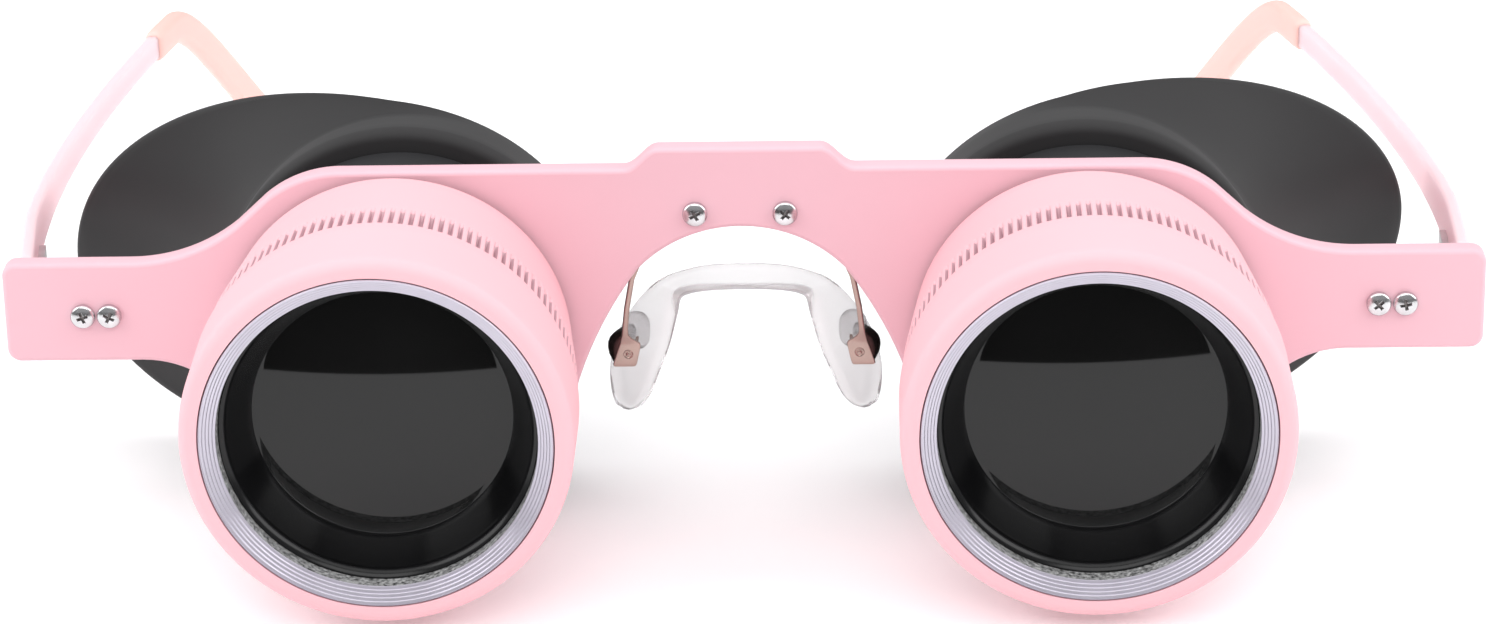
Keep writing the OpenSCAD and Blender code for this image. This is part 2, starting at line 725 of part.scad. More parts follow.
// Soft ear tip, a sleeve over the arm's end with a solid rounded end
module temple_tip() {
    taper_gap = 0.3;
    color(tip_peach) skin(concat(
        [for (t = [1.5:-0.1:sleeve_start + 0.001])
            arm_ring(t, arm_t + 2 * sleeve_gap, arm_end_h + 2 * sleeve_gap + taper_gap, arm_corner)],
        [arm_ring(sleeve_start, tip_t - arm_corner, tip_h - arm_corner, tip_corner * 0.6)],
        [for (t = [sleeve_start + 0.02:0.06:1.9]) arm_ring(t, tip_t, tip_h, tip_corner)],
        tip_rings
    ));
}

// Moving half of the hinge, screwed to the inside of the arm
module temple_leaf() {
    half_h = knuckle_h * 1.5;
    neck_start = pivot[1] - arm_front - 0.6;
    neck_end = neck_start + 2.8;
    link = arm_outer_start[0] - arm_t - pivot[0];
    color(bright) difference() {
        union() {
            translate([pivot[0], pivot[1], hinge_z - knuckle_h / 2]) {
                cylinder(r = knuckle_r, h = knuckle_h, $fn = 48);
                cube([link, knuckle_r, knuckle_h]);
            }
            arm_root_frame() {
                translate([-leaf_t, neck_start, hinge_z - knuckle_h / 2])
                    cube([leaf_t, neck_end + 1 - neck_start, knuckle_h]);
                translate([-leaf_t, neck_end, hinge_z - half_h])
                    cube([leaf_t, leaf_end - neck_end, 2 * half_h]);
            }
        }
        translate([pivot[0], pivot[1], hinge_z - 5]) cylinder(r = pin_r + seat_gap, h = 10, $fn = 48);
        arm_root_frame() for (y = leaf_screw_y) translate([-3, y - arm_front, hinge_z])
            rotate([0, 90, 0]) cylinder(r = leaf_screw_r + seat_gap, h = 4, $fn = 24);
    }
}

module leaf_screws() {
    color(bright) arm_root_frame() for (y = leaf_screw_y)
        translate([-leaf_t, y - arm_front, hinge_z]) rotate([0, 90, 0]) {
        translate([0, 0, -0.5]) difference() {
            cylinder(r = 1.05, h = 0.5, $fn = 32);
            translate([-0.7, -0.12, -0.2]) cube([1.4, 0.24, 0.4]);
        }
        translate([0, 0, -0.1]) cylinder(r = leaf_screw_r, h = leaf_t + arm_t * 0.5 + 0.1, $fn = 24);
    }
}

// Stamped bracket behind the bridge with two arms that end in small boxes
module nose_bracket() {
    strip_half = 7.6;
    box_top = box_z + box_size[2] / 2;
    arm_path = [
        [strip_half - 0.7, plate_t + bracket_t - 0.2, bridge_screw[1] - 0.8],
        [box_x - 1.3, box_front - 1, box_z + 10.7],
        [box_x - 0.1, box_front + 0.6, box_top + 1.4], [box_x, box_front + 1, box_top + 0.2]
    ];
    color(copper) wearer_frame() difference() {
        union() {
            translate([-strip_half, plate_t, bridge_screw[1] - 1.4]) cube([2 * strip_half, bracket_t, 2.8]);
            for (s = [-1, 1]) {
                for (i = [0:2]) hull() for (p = [arm_path[i], arm_path[i + 1]])
                    translate([s * p[0], p[1], p[2]]) sphere(r = bracket_wire_r, $fn = 16);
                nose_box(s);
            }
        }
        for (s = [-1, 1]) screw_hole([s * bridge_screw[0], bridge_screw[1]]);
    }
}

// Open-backed box that takes the saddle's stem
module nose_box(s) {
    flange_r = 2.1;
    flange_t = 0.9;
    translate([s * box_x, box_front, box_z]) difference() {
        union() {
            translate([-box_size[0] / 2, 0, -box_size[2] / 2]) cube(box_size);
            translate([s * box_size[0] / 2, box_size[1] * 0.55, 0]) rotate([0, 90, 0])
                translate([0, 0, -flange_t / 2]) cylinder(r = flange_r, h = flange_t, $fn = 32);
        }
        translate([-box_size[0] / 2 + box_wall, box_wall, -box_size[2] / 2 + box_wall])
            cube([box_size[0] - 2 * box_wall, box_size[1] + 2, box_size[2] - 2 * box_wall]);
        translate([0, -1, 0]) rotate([-90, 0, 0]) cylinder(r = pad_screw_r + seat_gap, h = 2, $fn = 24);
    }
}

module nose_pad_screws() {
    color(bright) wearer_frame() for (s = [-1, 1])
        translate([s * box_x, box_front, box_z]) rotate([-90, 0, 0]) {
        translate([0, 0, -0.3]) cylinder(r = pad_screw_r + 0.3, h = 0.3, $fn = 24);
        translate([0, 0, -0.1]) cylinder(r = pad_screw_r, h = 1.9, $fn = 24);
    }
}

// Clear saddle: one strip over the nose that widens into two pads
saddle_path = [
    [[0, 4.1], [7.2, 4.2], [10.6, 1.2], [11.8, -3.4]],
    [[11.8, -3.4], [12.6, -6.6], [13.2, -9.8], [13.6, saddle_bottom]]
];
function saddle_at(t) = t <= 1 ? bezier(saddle_path[0], t) : bezier(saddle_path[1], t - 1);
function saddle_ring(t, s) =
    let (
        p = saddle_at(t), q = saddle_at(t + 0.01), o = saddle_at(max(0, t - 0.01)),
        along = unit([s * (q[0] - o[0]), 0, q[1] - o[1]]),
        turn = 52 * pow(min(1, t / 1.1), 2),
        across = unit([s * sin(turn), cos(turn), 0]),
        taper = t > 1.6 ? sqrt(max(0.02, 1 - pow((t - 1.6) / 0.4, 2))) : 1,
        w = blend(saddle_depth, pad_w, min(1, t)) * taper
    )
    strip_ring(
        [s * p[0], saddle_y + 1.4 * min(1, t), p[1]], across, s * unit(cross(along, across)),
        w, blend(saddle_t, pad_t, min(1, t)), 0.6
    );

module nose_pad() {
    clearance = box_wall + seat_gap;
    stem = box_size - 2 * clearance * [1, 0, 1];
    color(clear) wearer_frame() difference() {
        union() {
            skin([for (k = [-24:24]) let (t = abs(k) / 12) saddle_ring(t, k < 0 ? 1 : -1)]);
            for (s = [-1, 1]) translate([s * box_x - stem[0] / 2, box_front + clearance, box_z - stem[2] / 2])
                cube([stem[0], stem_end - box_front - clearance, stem[2]]);
        }
        for (s = [-1, 1]) translate([s * box_x, box_front, box_z]) rotate([-90, 0, 0])
            cylinder(r = pad_screw_r + seat_gap, h = 2.1, $fn = 24);
    }
}

module left_body_tube() { on_axis("left") body_tube(); }
module left_eyepiece_housing() { on_axis("left") eyepiece_housing(); }
module left_eyepiece_lens() { on_axis("left") eyepiece_lens(); }
module left_eyepiece_ring() { on_axis("left") eyepiece_ring(); }
module left_eyecup() { on_axis("left") rotate(cup_turn) eyecup(); }
module left_hinge_plate() { on_side("left") hinge_plate(); }
module left_hinge_pin() { on_side("left") hinge_pin(); }
module left_objective_tube() { on_axis("left") objective_tube(); }
module left_objective_lens() { on_axis("left") objective_lens(); }
module left_lens_cone() { on_axis("left") lens_cone(); }
module left_lens_ring() { on_axis("left") lens_ring(); }
module left_focus_barrel() { on_axis("left") focus_barrel(); }
module left_snap_ring() { on_axis("left") snap_ring(); }
module left_temple_arm() { folded("left") temple_arm(); }
module left_temple_leaf() { folded("left") temple_leaf(); }
module left_leaf_screws() { folded("left") leaf_screws(); }
module left_temple_tip() { folded("left") temple_tip(); }
module right_body_tube() { on_axis("right") body_tube(); }
module right_eyepiece_housing() { on_axis("right") eyepiece_housing(); }
module right_eyepiece_lens() { on_axis("right") eyepiece_lens(); }
module right_eyepiece_ring() { on_axis("right") eyepiece_ring(); }
module right_eyecup() { on_axis("right") rotate(-cup_turn) eyecup(); }
module right_hinge_plate() { on_side("right") hinge_plate(); }
module right_hinge_pin() { on_side("right") hinge_pin(); }
module right_objective_tube() { on_axis("right") objective_tube(); }
module right_objective_lens() { on_axis("right") objective_lens(); }
module right_lens_cone() { on_axis("right") lens_cone(); }
module right_lens_ring() { on_axis("right") lens_ring(); }
module right_focus_barrel() { on_axis("right") focus_barrel(); }
module right_snap_ring() { on_axis("right") snap_ring(); }
module right_temple_arm() { folded("right") temple_arm(); }
module right_temple_leaf() { folded("right") temple_leaf(); }
module right_leaf_screws() { folded("right") leaf_screws(); }
module right_temple_tip() { folded("right") temple_tip(); }

front_plate();
bridge_screws();
hinge_screws();
nose_bracket();
nose_pad();
nose_pad_screws();
left_body_tube();
left_eyepiece_housing();
left_eyepiece_lens();
left_eyepiece_ring();
left_eyecup();
left_hinge_plate();
left_hinge_pin();
left_objective_tube();
left_objective_lens();
left_lens_cone();
left_lens_ring();
left_focus_barrel();
left_snap_ring();
left_temple_arm();
left_temple_leaf();
left_leaf_screws();
left_temple_tip();
right_body_tube();
right_eyepiece_housing();
right_eyepiece_lens();
right_eyepiece_ring();
right_eyecup();
right_hinge_plate();
right_hinge_pin();
right_objective_tube();
right_objective_lens();
right_lens_cone();
right_lens_ring();
right_focus_barrel();
right_snap_ring();
right_temple_arm();
right_temple_leaf();
right_leaf_screws();
right_temple_tip();
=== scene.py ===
import math

import bmesh
import bpy
from mathutils import Matrix, Vector


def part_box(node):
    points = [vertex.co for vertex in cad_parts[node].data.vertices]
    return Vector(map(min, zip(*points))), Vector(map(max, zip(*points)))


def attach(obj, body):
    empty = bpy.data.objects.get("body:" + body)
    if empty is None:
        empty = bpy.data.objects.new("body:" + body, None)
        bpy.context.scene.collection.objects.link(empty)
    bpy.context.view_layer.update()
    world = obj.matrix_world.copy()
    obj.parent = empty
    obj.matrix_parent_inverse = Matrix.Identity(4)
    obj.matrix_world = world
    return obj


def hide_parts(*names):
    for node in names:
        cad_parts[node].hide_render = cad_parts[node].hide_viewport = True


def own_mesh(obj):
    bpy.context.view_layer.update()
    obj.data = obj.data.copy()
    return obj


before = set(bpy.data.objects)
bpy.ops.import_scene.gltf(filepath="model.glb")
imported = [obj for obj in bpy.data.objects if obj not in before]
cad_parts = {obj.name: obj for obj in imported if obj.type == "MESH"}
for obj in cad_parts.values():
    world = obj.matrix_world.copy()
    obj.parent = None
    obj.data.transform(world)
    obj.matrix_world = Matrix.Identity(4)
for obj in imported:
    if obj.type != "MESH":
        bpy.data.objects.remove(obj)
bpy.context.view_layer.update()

# Studio.
# A white table under a broad overhead softbox, with two side boxes, a front fill and two weaker
# rear fills. The camera stands where the photograph's did, 23 degrees above the barrels. In place
# of the table's near part the lenses and the chrome mirror a dark room floor, as they do there.
PLATE_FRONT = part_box("front_plate")[0][1]
barrel_low, barrel_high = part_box("left_focus_barrel")
BARREL_HEIGHT = (barrel_low[2] + barrel_high[2]) / 2


def metres(length):
    """A length given in millimetres, in the scene's own unit."""
    return length / 1000


def at(x, y, z):
    """A place given in millimetres: across, behind the plate's front, above the barrel axes."""
    return Vector((metres(x), PLATE_FRONT + metres(y), BARREL_HEIGHT + metres(z)))


def tint(red, green, blue):
    """A colour as it is read off a screen, 0 to 255, made linear for the shaders."""
    shares = [level / 255 for level in (red, green, blue)]
    return [c / 12.92 if c <= 0.04045 else ((c + 0.055) / 1.055) ** 2.4 for c in shares]


CAMERA_PLACE = at(14.389, -521.754, 217.945)
SIGHT_WAY = Vector((-0.025714, 0.923121, -0.383648)).normalized()
ACROSS_WAY = Vector((0.999621, 0.019961, -0.018971)).normalized()
lens_data = bpy.data.cameras.new("camera")
lens_data.sensor_width = 36.0
lens_data.lens = 117.38
lens_data.shift_x = 0.00302
lens_data.shift_y = 0.00816
lens_data.clip_start = 0.01
camera = bpy.data.objects.new("camera", lens_data)
bpy.context.collection.objects.link(camera)
camera_axes = Matrix((ACROSS_WAY, ACROSS_WAY.cross(SIGHT_WAY), -SIGHT_WAY)).transposed()
camera.matrix_world = Matrix.Translation(CAMERA_PLACE) @ camera_axes.to_4x4()
bpy.context.scene.camera = camera

# Each light's name, its place, the place it faces, its two sides in metres and its power.
LIGHTS = (
    ("overhead_softbox", at(0, 20, 620), at(0, 10, 0), (0.9, 0.7), 2.9),
    ("left_softbox", at(-520, -160, 330), at(-30, 0, 0), (0.45, 0.45), 1.8),
    ("right_softbox", at(520, -160, 330), at(30, 0, 0), (0.45, 0.45), 1.8),
    ("front_fill", at(0, -560, 520), at(0, 0, 0), (0.6, 0.35), 1.6),
    ("left_rear_fill", at(-520, 330, 220), at(0, 0, 0), (0.4, 0.4), 0.6),
    ("right_rear_fill", at(520, 330, 220), at(0, 0, 0), (0.4, 0.4), 0.6),
)
for name, place, aim, sides, power in LIGHTS:
    light_data = bpy.data.lights.new(name, "AREA")
    light_data.shape = "RECTANGLE"
    light_data.size, light_data.size_y = sides
    light_data.energy = power
    light = bpy.data.objects.new(name, light_data)
    light.location = place
    light.rotation_euler = (aim - place).to_track_quat("-Z", "Y").to_euler()
    bpy.context.collection.objects.link(light)

studio = bpy.data.worlds.new("studio")
studio.use_nodes = True
ambient = studio.node_tree.nodes["Background"].inputs
ambient["Color"].default_value = (0.97, 0.98, 1.0, 1.0)
ambient["Strength"].default_value = 0.4
bpy.context.scene.world = studio
bpy.context.scene.view_settings.view_transform = "Standard"


def floor_sheet(name, height, corners):
    """A level sheet of the studio, from its corners in turn, in metres."""
    mesh = bpy.data.meshes.new(name)
    mesh.from_pydata([(x, y, height) for x, y in corners], [], [tuple(range(len(corners)))])
    sheet = bpy.data.objects.new(name, mesh)
    bpy.context.collection.objects.link(sheet)
    return sheet


# The table's near part, the apron, begins at a line in front of the barrels that runs a little
# askew. Shiny pieces don't mirror it. They mirror the room floor below it.
TABLE_REACH = 3.0
APRON_EDGE = PLATE_FRONT - 0.1127
APRON_SLOPE = math.tan(math.radians(2.9))
ROOM_REACH = 30
ROOM_LEVEL = -0.4
edge_left = (-TABLE_REACH, APRON_EDGE + APRON_SLOPE * TABLE_REACH)
edge_right = (TABLE_REACH, APRON_EDGE - APRON_SLOPE * TABLE_REACH)
far_corners = ((TABLE_REACH, TABLE_REACH), (-TABLE_REACH, TABLE_REACH))
near_corners = ((-TABLE_REACH, -TABLE_REACH), (TABLE_REACH, -TABLE_REACH))
table = floor_sheet("table", 0, (edge_left, edge_right, *far_corners))
apron = floor_sheet("table_apron", 0, (*near_corners, edge_right, edge_left))
apron.visible_glossy = False
room_corners = [(x * ROOM_REACH, y * ROOM_REACH) for x, y in ((-1, -1), (1, -1), (1, 1), (-1, 1))]
room_floor = floor_sheet("room_floor", ROOM_LEVEL, room_corners)


def finish(name, colour, roughness, mottle=0.04, mottle_scale=60.0, grain=0.0, grain_scale=900.0,
           **shader):
    """A surface with slight patches of colour and gloss, and a fine grain, in mm, in its relief."""
    gloss_spread = 0.12
    material = bpy.data.materials.new(name)
    material.use_nodes = True
    tree = material.node_tree
    surface = tree.nodes["Principled BSDF"]
    place = tree.nodes.new("ShaderNodeTexCoord")
    patches = tree.nodes.new("ShaderNodeTexNoise")
    patches.inputs["Scale"].default_value = mottle_scale
    patches.inputs["Detail"].default_value = 3.0
    tree.links.new(place.outputs["Object"], patches.inputs["Vector"])
    shades = tree.nodes.new("ShaderNodeValToRGB")
    shades.color_ramp.elements[0].position = 0.3
    shades.color_ramp.elements[1].position = 0.7
    for element, factor in zip(shades.color_ramp.elements, (1 - mottle, 1 + mottle)):
        element.color = (*(min(1.0, c * factor) for c in colour), 1.0)
    tree.links.new(patches.outputs["Fac"], shades.inputs["Fac"])
    tree.links.new(shades.outputs["Color"], surface.inputs["Base Color"])
    gloss = tree.nodes.new("ShaderNodeMapRange")
    gloss.inputs["To Min"].default_value = roughness * (1 - gloss_spread)
    gloss.inputs["To Max"].default_value = min(1.0, roughness * (1 + gloss_spread))
    tree.links.new(patches.outputs["Fac"], gloss.inputs["Value"])
    tree.links.new(gloss.outputs["Result"], surface.inputs["Roughness"])
    if grain:
        specks = tree.nodes.new("ShaderNodeTexNoise")
        specks.inputs["Scale"].default_value = grain_scale
        specks.inputs["Detail"].default_value = 4.0
        tree.links.new(place.outputs["Object"], specks.inputs["Vector"])
        relief = tree.nodes.new("ShaderNodeBump")
        relief.inputs["Strength"].default_value = 1.0
        relief.inputs["Distance"].default_value = metres(grain)
        tree.links.new(specks.outputs["Fac"], relief.inputs["Height"])
        tree.links.new(relief.outputs["Normal"], surface.inputs["Normal"])
    surface.inputs["Base Color"].default_value = (*colour, 1.0)
    surface.inputs["Roughness"].default_value = roughness
    for socket, value in shader.items():
        surface.inputs[socket.replace("_", " ")].default_value = value
    return material


table_white = finish("table_white", (0.95, 0.95, 0.955), 0.6, mottle=0.004, mottle_scale=6.0,
                     Emission_Color=(1, 1, 1, 1), Emission_Strength=0.1)
room_dark = finish("room_dark", (0.25, 0.25, 0.25), 0.9, mottle=0.05, mottle_scale=3.0)
for sheet, material in ((table, table_white), (apron, table_white), (room_floor, room_dark)):
    sheet.data.materials.append(material)

# Front plate.
# One flat piece of painted plastic, 2.8 mm thick, that carries everything else. Its edges are
# softly rounded, its top edge steps up in the middle, and the nose arch is cut out below.
PLATE_THICKNESS = 2.8
PLATE_HALF_WIDTH = 86.0
EDGE_ROUND = 0.5
TOP = 20.4
BROW_RISE = 2.5
BROW_HALF_WIDTH = 9.3
BROW_STEP_RUN = 4
SHOULDER_X = 46
SHOULDER_RADIUS = 13.7
SHOULDER_END = 50
SWEEP_X = 71
SWEEP_RADIUS = 20
TAB_TOP = 9.4
TAB_BOTTOM = -2.8
TAB_CORNER = 1.6
BARREL_X = 40.0
SPIGOT_RADIUS = 16.58
LOBE_RADIUS = 21.6
LOBE_FILLET = 12.0
LOBE_END = 198.0
NOSE_TOP = 13.2
NOSE_RADIUS = 16.4
NOSE_FOOT_X = 12.0
CHEEK_RADIUS = 50
plate_pink = finish("plate_pink", tint(228, 183, 193), 0.5, mottle=0.012, mottle_scale=25.0,
                    grain=0.004, grain_scale=1400.0, Specular_IOR_Level=0.3)


def arc(x, z, radius, start, end, steps):
    """Points round part of a circle, angles in degrees."""
    turns = [math.radians(start + (end - start) * i / steps) for i in range(steps + 1)]
    return [(x + radius * math.cos(t), z + radius * math.sin(t)) for t in turns]


def arc_between(a, b, radius, steps):
    """An arc of the given radius from a to b that bulges to the left of the way there."""
    a, b = Vector(a), Vector(b)
    run = b - a
    out = Vector((-run.y, run.x)).normalized()
    centre = (a + b) / 2 - out * math.sqrt(radius * radius - run.length_squared / 4)
    start = math.degrees(math.atan2(*(a - centre).yx))
    end = math.degrees(math.atan2(*(b - centre).yx))
    return arc(centre.x, centre.y, radius, start, end, steps)[1:-1]


def brow_step(share):
    """A point of the step from the raised brow down to the top edge."""
    drop = BROW_RISE * (1 - math.cos(math.pi * share)) / 2
    return BROW_HALF_WIDTH + BROW_STEP_RUN * share, TOP + BROW_RISE - drop


# Half the outline, clockwise: brow, shoulder, tab, round lobe, cheek and nose arch.
tab_end = PLATE_HALF_WIDTH - TAB_CORNER
fillet_z = TAB_BOTTOM - LOBE_FILLET
fillet_run = math.sqrt((LOBE_RADIUS + LOBE_FILLET) ** 2 - fillet_z ** 2)
lobe_start = math.degrees(math.atan2(fillet_z, fillet_run))
lobe_turn = math.radians(LOBE_END)
lobe_foot = (BARREL_X + LOBE_RADIUS * math.cos(lobe_turn), LOBE_RADIUS * math.sin(lobe_turn))
nose_z = NOSE_TOP - NOSE_RADIUS
nose_foot_rise = math.sqrt(NOSE_RADIUS ** 2 - NOSE_FOOT_X ** 2)
nose_foot = (NOSE_FOOT_X, nose_z + nose_foot_rise)
half_outline = (
    [brow_step(i / 12) for i in range(13)]
    + arc(SHOULDER_X, TOP - SHOULDER_RADIUS, SHOULDER_RADIUS, 90, SHOULDER_END, 18)
    + arc(SWEEP_X, TAB_TOP + SWEEP_RADIUS, SWEEP_RADIUS, 180 + SHOULDER_END, 270, 18)
    + arc(tab_end, TAB_TOP - TAB_CORNER, TAB_CORNER, 90, 0, 10)
    + arc(tab_end, TAB_BOTTOM + TAB_CORNER, TAB_CORNER, 0, -90, 10)
    + arc(BARREL_X + fillet_run, fillet_z, LOBE_FILLET, 90, 180 + lobe_start, 14)[:-1]
    + arc(BARREL_X, 0, LOBE_RADIUS, lobe_start, LOBE_END - 360, 90)
    + arc_between(nose_foot, lobe_foot, CHEEK_RADIUS, 10)[::-1]
    + arc(0, nose_z, NOSE_RADIUS, math.degrees(math.atan2(nose_foot_rise, NOSE_FOOT_X)), 90, 20)
)
outline = half_outline + [(-x, z) for x, z in reversed(half_outline[:-1])]
openings = [arc(x, 0, SPIGOT_RADIUS, 0, 360, 96)[:-1] for x in (BARREL_X, -BARREL_X)]

shape = bpy.data.curves.new("plate_shape", "CURVE")
shape.dimensions = "2D"
shape.fill_mode = "BOTH"
shape.extrude = metres(PLATE_THICKNESS / 2 - EDGE_ROUND)
shape.bevel_depth = metres(EDGE_ROUND)
shape.bevel_resolution = 3
shape.offset = -metres(EDGE_ROUND)
for points in (outline, *openings):
    edge = shape.splines.new("POLY")
    edge.points.add(len(points) - 1)
    edge.use_cyclic_u = True
    for point, (x, z) in zip(edge.points, points):
        point.co = (metres(x), metres(z), 0, 1)
drawn = bpy.data.objects.new("plate_shape", shape)
bpy.context.collection.objects.link(drawn)
bpy.context.view_layer.update()
depsgraph = bpy.context.evaluated_depsgraph_get()
plate_mesh = bpy.data.meshes.new_from_object(drawn.evaluated_get(depsgraph))
bpy.data.objects.remove(drawn)
stood_up = Matrix.Rotation(math.pi / 2, 4, "X")
plate_mesh.transform(Matrix.Translation(at(0, PLATE_THICKNESS / 2, 0)) @ stood_up)
plate_mesh.materials.clear()
plate_mesh.materials.append(plate_pink)
plate_mesh.shade_smooth()
plate_mesh.set_sharp_from_angle(angle=math.radians(32))
plate = bpy.data.objects.new("plate", plate_mesh)
bpy.context.collection.objects.link(plate)
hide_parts("front_plate")
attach(plate, "frame")

# Plate screws.
# Six chromed pan-head screws, 2.9 mm across, with a cross recess. Two hold the nose bracket
# behind the bridge, and two at each end hold a hinge.
HEAD_RADIUS = 1.45
HEAD_HEIGHT = 0.95
CROWN_SHARE = 0.86
CROWN_DROP = 0.22
CROWN_RINGS = 32
SHANK_RADIUS = 0.8
RECESS_DEPTH = 0.42
RECESS_HALF_WIDTH = 0.13
RECESS_HALF_LENGTH = 0.62
RECESS_WALL_RUN = 0.1
SHADE_LOW = 0.3
SHADE_HIGH = HEAD_HEIGHT - 0.75 * RECESS_DEPTH
SHADE_REACH = 0.9
SHANK_TIP_SHARE = 0.6
HEAD_STEPS = 96
# Down the side of a head: the share of its radius, and the height above the plate.
HEAD_SIDE = ((0.95, 0.62), (1.0, 0.45), (1.0, 0.12), (0.985, 0.0))
# Each screw's place across and up, and the turn at which it stopped.
BRIDGE_SCREWS = ((-5.2, 15.0, 0.5), (5.2, 15.0, 0.9))
HINGE_SCREWS = ((-76.8, 3.0, 0.35), (-73.7, 3.0, 1.1), (73.7, 3.0, 0.7), (76.8, 3.0, 0.2))
screw_chrome = finish("screw_chrome", (0.62, 0.615, 0.625), 0.19, mottle=0.1, mottle_scale=700.0,
                      grain=0.01, grain_scale=1800.0, Metallic=1.0)
recess_shade = finish("recess_shade", (0.24, 0.225, 0.22), 0.4, mottle=0.2, mottle_scale=900.0,
                      grain=0.01, grain_scale=2200.0, Metallic=0.6)


def new_piece(name, points, faces, material, sharp=35, weld=False):
    """A smooth-shaded object from points in metres, with edges kept crisp above an angle."""
    mesh = bpy.data.meshes.new(name)
    mesh.from_pydata([tuple(p) for p in points], [], faces)
    builder = bmesh.new()
    builder.from_mesh(mesh)
    if weld:
        bmesh.ops.remove_doubles(builder, verts=builder.verts, dist=1e-7)
    bmesh.ops.recalc_face_normals(builder, faces=builder.faces)
    builder.to_mesh(mesh)
    builder.free()
    mesh.materials.append(material)
    mesh.shade_smooth()
    mesh.set_sharp_from_angle(angle=math.radians(sharp))
    piece = bpy.data.objects.new(name, mesh)
    bpy.context.collection.objects.link(piece)
    return piece


def skin(rings, loop=False):
    """Quads over rings of equal size. The ends are closed, or a loop joins the last to the first."""
    count = len(rings[0])
    points = [p for ring in rings for p in ring]
    faces = []
    for i in range(len(rings) if loop else len(rings) - 1):
        k = (i + 1) % len(rings)
        for j in range(count):
            m = (j + 1) % count
            faces.append((i * count + j, i * count + m, k * count + m, k * count + j))
    if not loop:
        faces.append(tuple(reversed(range(count))))
        faces.append(tuple(range((len(rings) - 1) * count, len(rings) * count)))
    return points, faces


def gather(parts):
    """Joins several skins, each a pair of points and faces, into one."""
    points, faces = [], []
    for part_points, part_faces in parts:
        faces += [tuple(i + len(points) for i in face) for face in part_faces]
        points += part_points
    return points, faces


def paint(piece, material, chosen):
    """Gives another material to the faces whose middle, in millimetres as in at, passes a test."""
    piece.data.materials.append(material)
    origin = at(0, 0, 0)
    for face in piece.data.polygons:
        if chosen(*(1000 * (face.center - origin))):
            face.material_index = len(piece.data.materials) - 1


def head_ring(radius, height):
    """One ring of a screw about its own axis: across, up and out of the plate."""
    turns = [2 * math.pi * k / HEAD_STEPS for k in range(HEAD_STEPS)]
    return [(radius * math.cos(t), radius * math.sin(t), height) for t in turns]


def recess(x, z, clock):
    """How deep the cross recess is at a place on the head, when the screw stopped at a turn."""
    c, s = math.cos(clock), math.sin(clock)
    u, v = abs(x * c + z * s), abs(z * c - x * s)
    along_u = max(u - RECESS_HALF_LENGTH, v - RECESS_HALF_WIDTH)
    along_v = max(u - RECESS_HALF_WIDTH, v - RECESS_HALF_LENGTH)
    outside = min(along_u, along_v) / RECESS_WALL_RUN
    return RECESS_DEPTH * min(1.0, max(0.0, 0.5 - outside))


def screw(x, z, clock, reach):
    """Rings of one plate screw, from the middle of its recess to the tip of its shank."""
    rings = []
    for share in (i / CROWN_RINGS for i in range(1, CROWN_RINGS + 1)):
        crown = head_ring(HEAD_RADIUS * CROWN_SHARE * share, HEAD_HEIGHT - CROWN_DROP * share ** 2)
        rings.append([(u, v, height - recess(u, v, clock)) for u, v, height in crown])
    rings += [head_ring(HEAD_RADIUS * share, height) for share, height in HEAD_SIDE]
    rings += [head_ring(SHANK_RADIUS, 0.0), head_ring(SHANK_RADIUS, -reach)]
    rings.append(head_ring(SHANK_RADIUS * SHANK_TIP_SHARE, -reach))
    return [[at(x + u, -height, z + v) for u, v, height in ring] for ring in rings]


def in_recess(x, y, z):
    """Tells the floor and the lower walls of the recesses from the rest of the screws."""
    off_axis = min(math.hypot(x - across, z - up) for across, up, _ in BRIDGE_SCREWS + HINGE_SCREWS)
    return SHADE_LOW < -y < SHADE_HIGH and off_axis < SHADE_REACH


for name, screws, reach in (("bridge_screws", BRIDGE_SCREWS, 3.5), ("hinge_screws", HINGE_SCREWS, 3.8)):
    points, faces = gather([skin(screw(*place, reach)) for place in screws])
    heads = new_piece(name + "_set", points, faces, screw_chrome, sharp=40)
    paint(heads, recess_shade, in_recess)
    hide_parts(name)
    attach(heads, "frame")

# Body tubes and eyepieces.
# Black moulded tubes fixed in the plate: a threaded sleeve in front, a nut and an eyepiece
# behind. The eyepiece lens is hollow-ground glass, held by a threaded ring.
EYE_LENS_RADIUS = 13.55
EYE_LENS_FRONT = 9.2
EYE_LENS_BACK = 11.0
EYE_LENS_HOLLOW = 0.55
black_plastic = finish("black_plastic", tint(30, 30, 32), 0.48, mottle=0.12, mottle_scale=90.0,
                       grain=0.012, grain_scale=1600.0)
dark_glass = finish("dark_glass", (0.0035, 0.0035, 0.004), 0.03, mottle=0.2, mottle_scale=40.0, IOR=1.52)


def dress(node, material):
    """Gives a CAD node that keeps its shape its finished surface."""
    slots = bpy.data.objects[node].data.materials
    slots.clear()
    slots.append(material)


def turned_skin(x, z, profile, steps, solid):
    """Quads turned about an axis from front to back. A solid's profile starts and ends on it."""
    turns = [2 * math.pi * i / steps for i in range(steps)]
    rings = [[at(x + r * math.cos(t), y, z + r * math.sin(t)) for r, y in profile] for t in turns]
    points, faces = skin(rings, loop=True)
    if solid:
        along_axis = len(profile) - 1
        faces = [face for n, face in enumerate(faces) if n % len(profile) != along_axis]
    return points, faces


def turned(name, x, profile, material, steps=160, sharp=35, solid=False):
    """A piece turned about a barrel axis from a profile of (radius, distance behind the plate)."""
    points, faces = turned_skin(x, 0, profile, steps, solid)
    return new_piece(name, points, faces, material, sharp, weld=True)


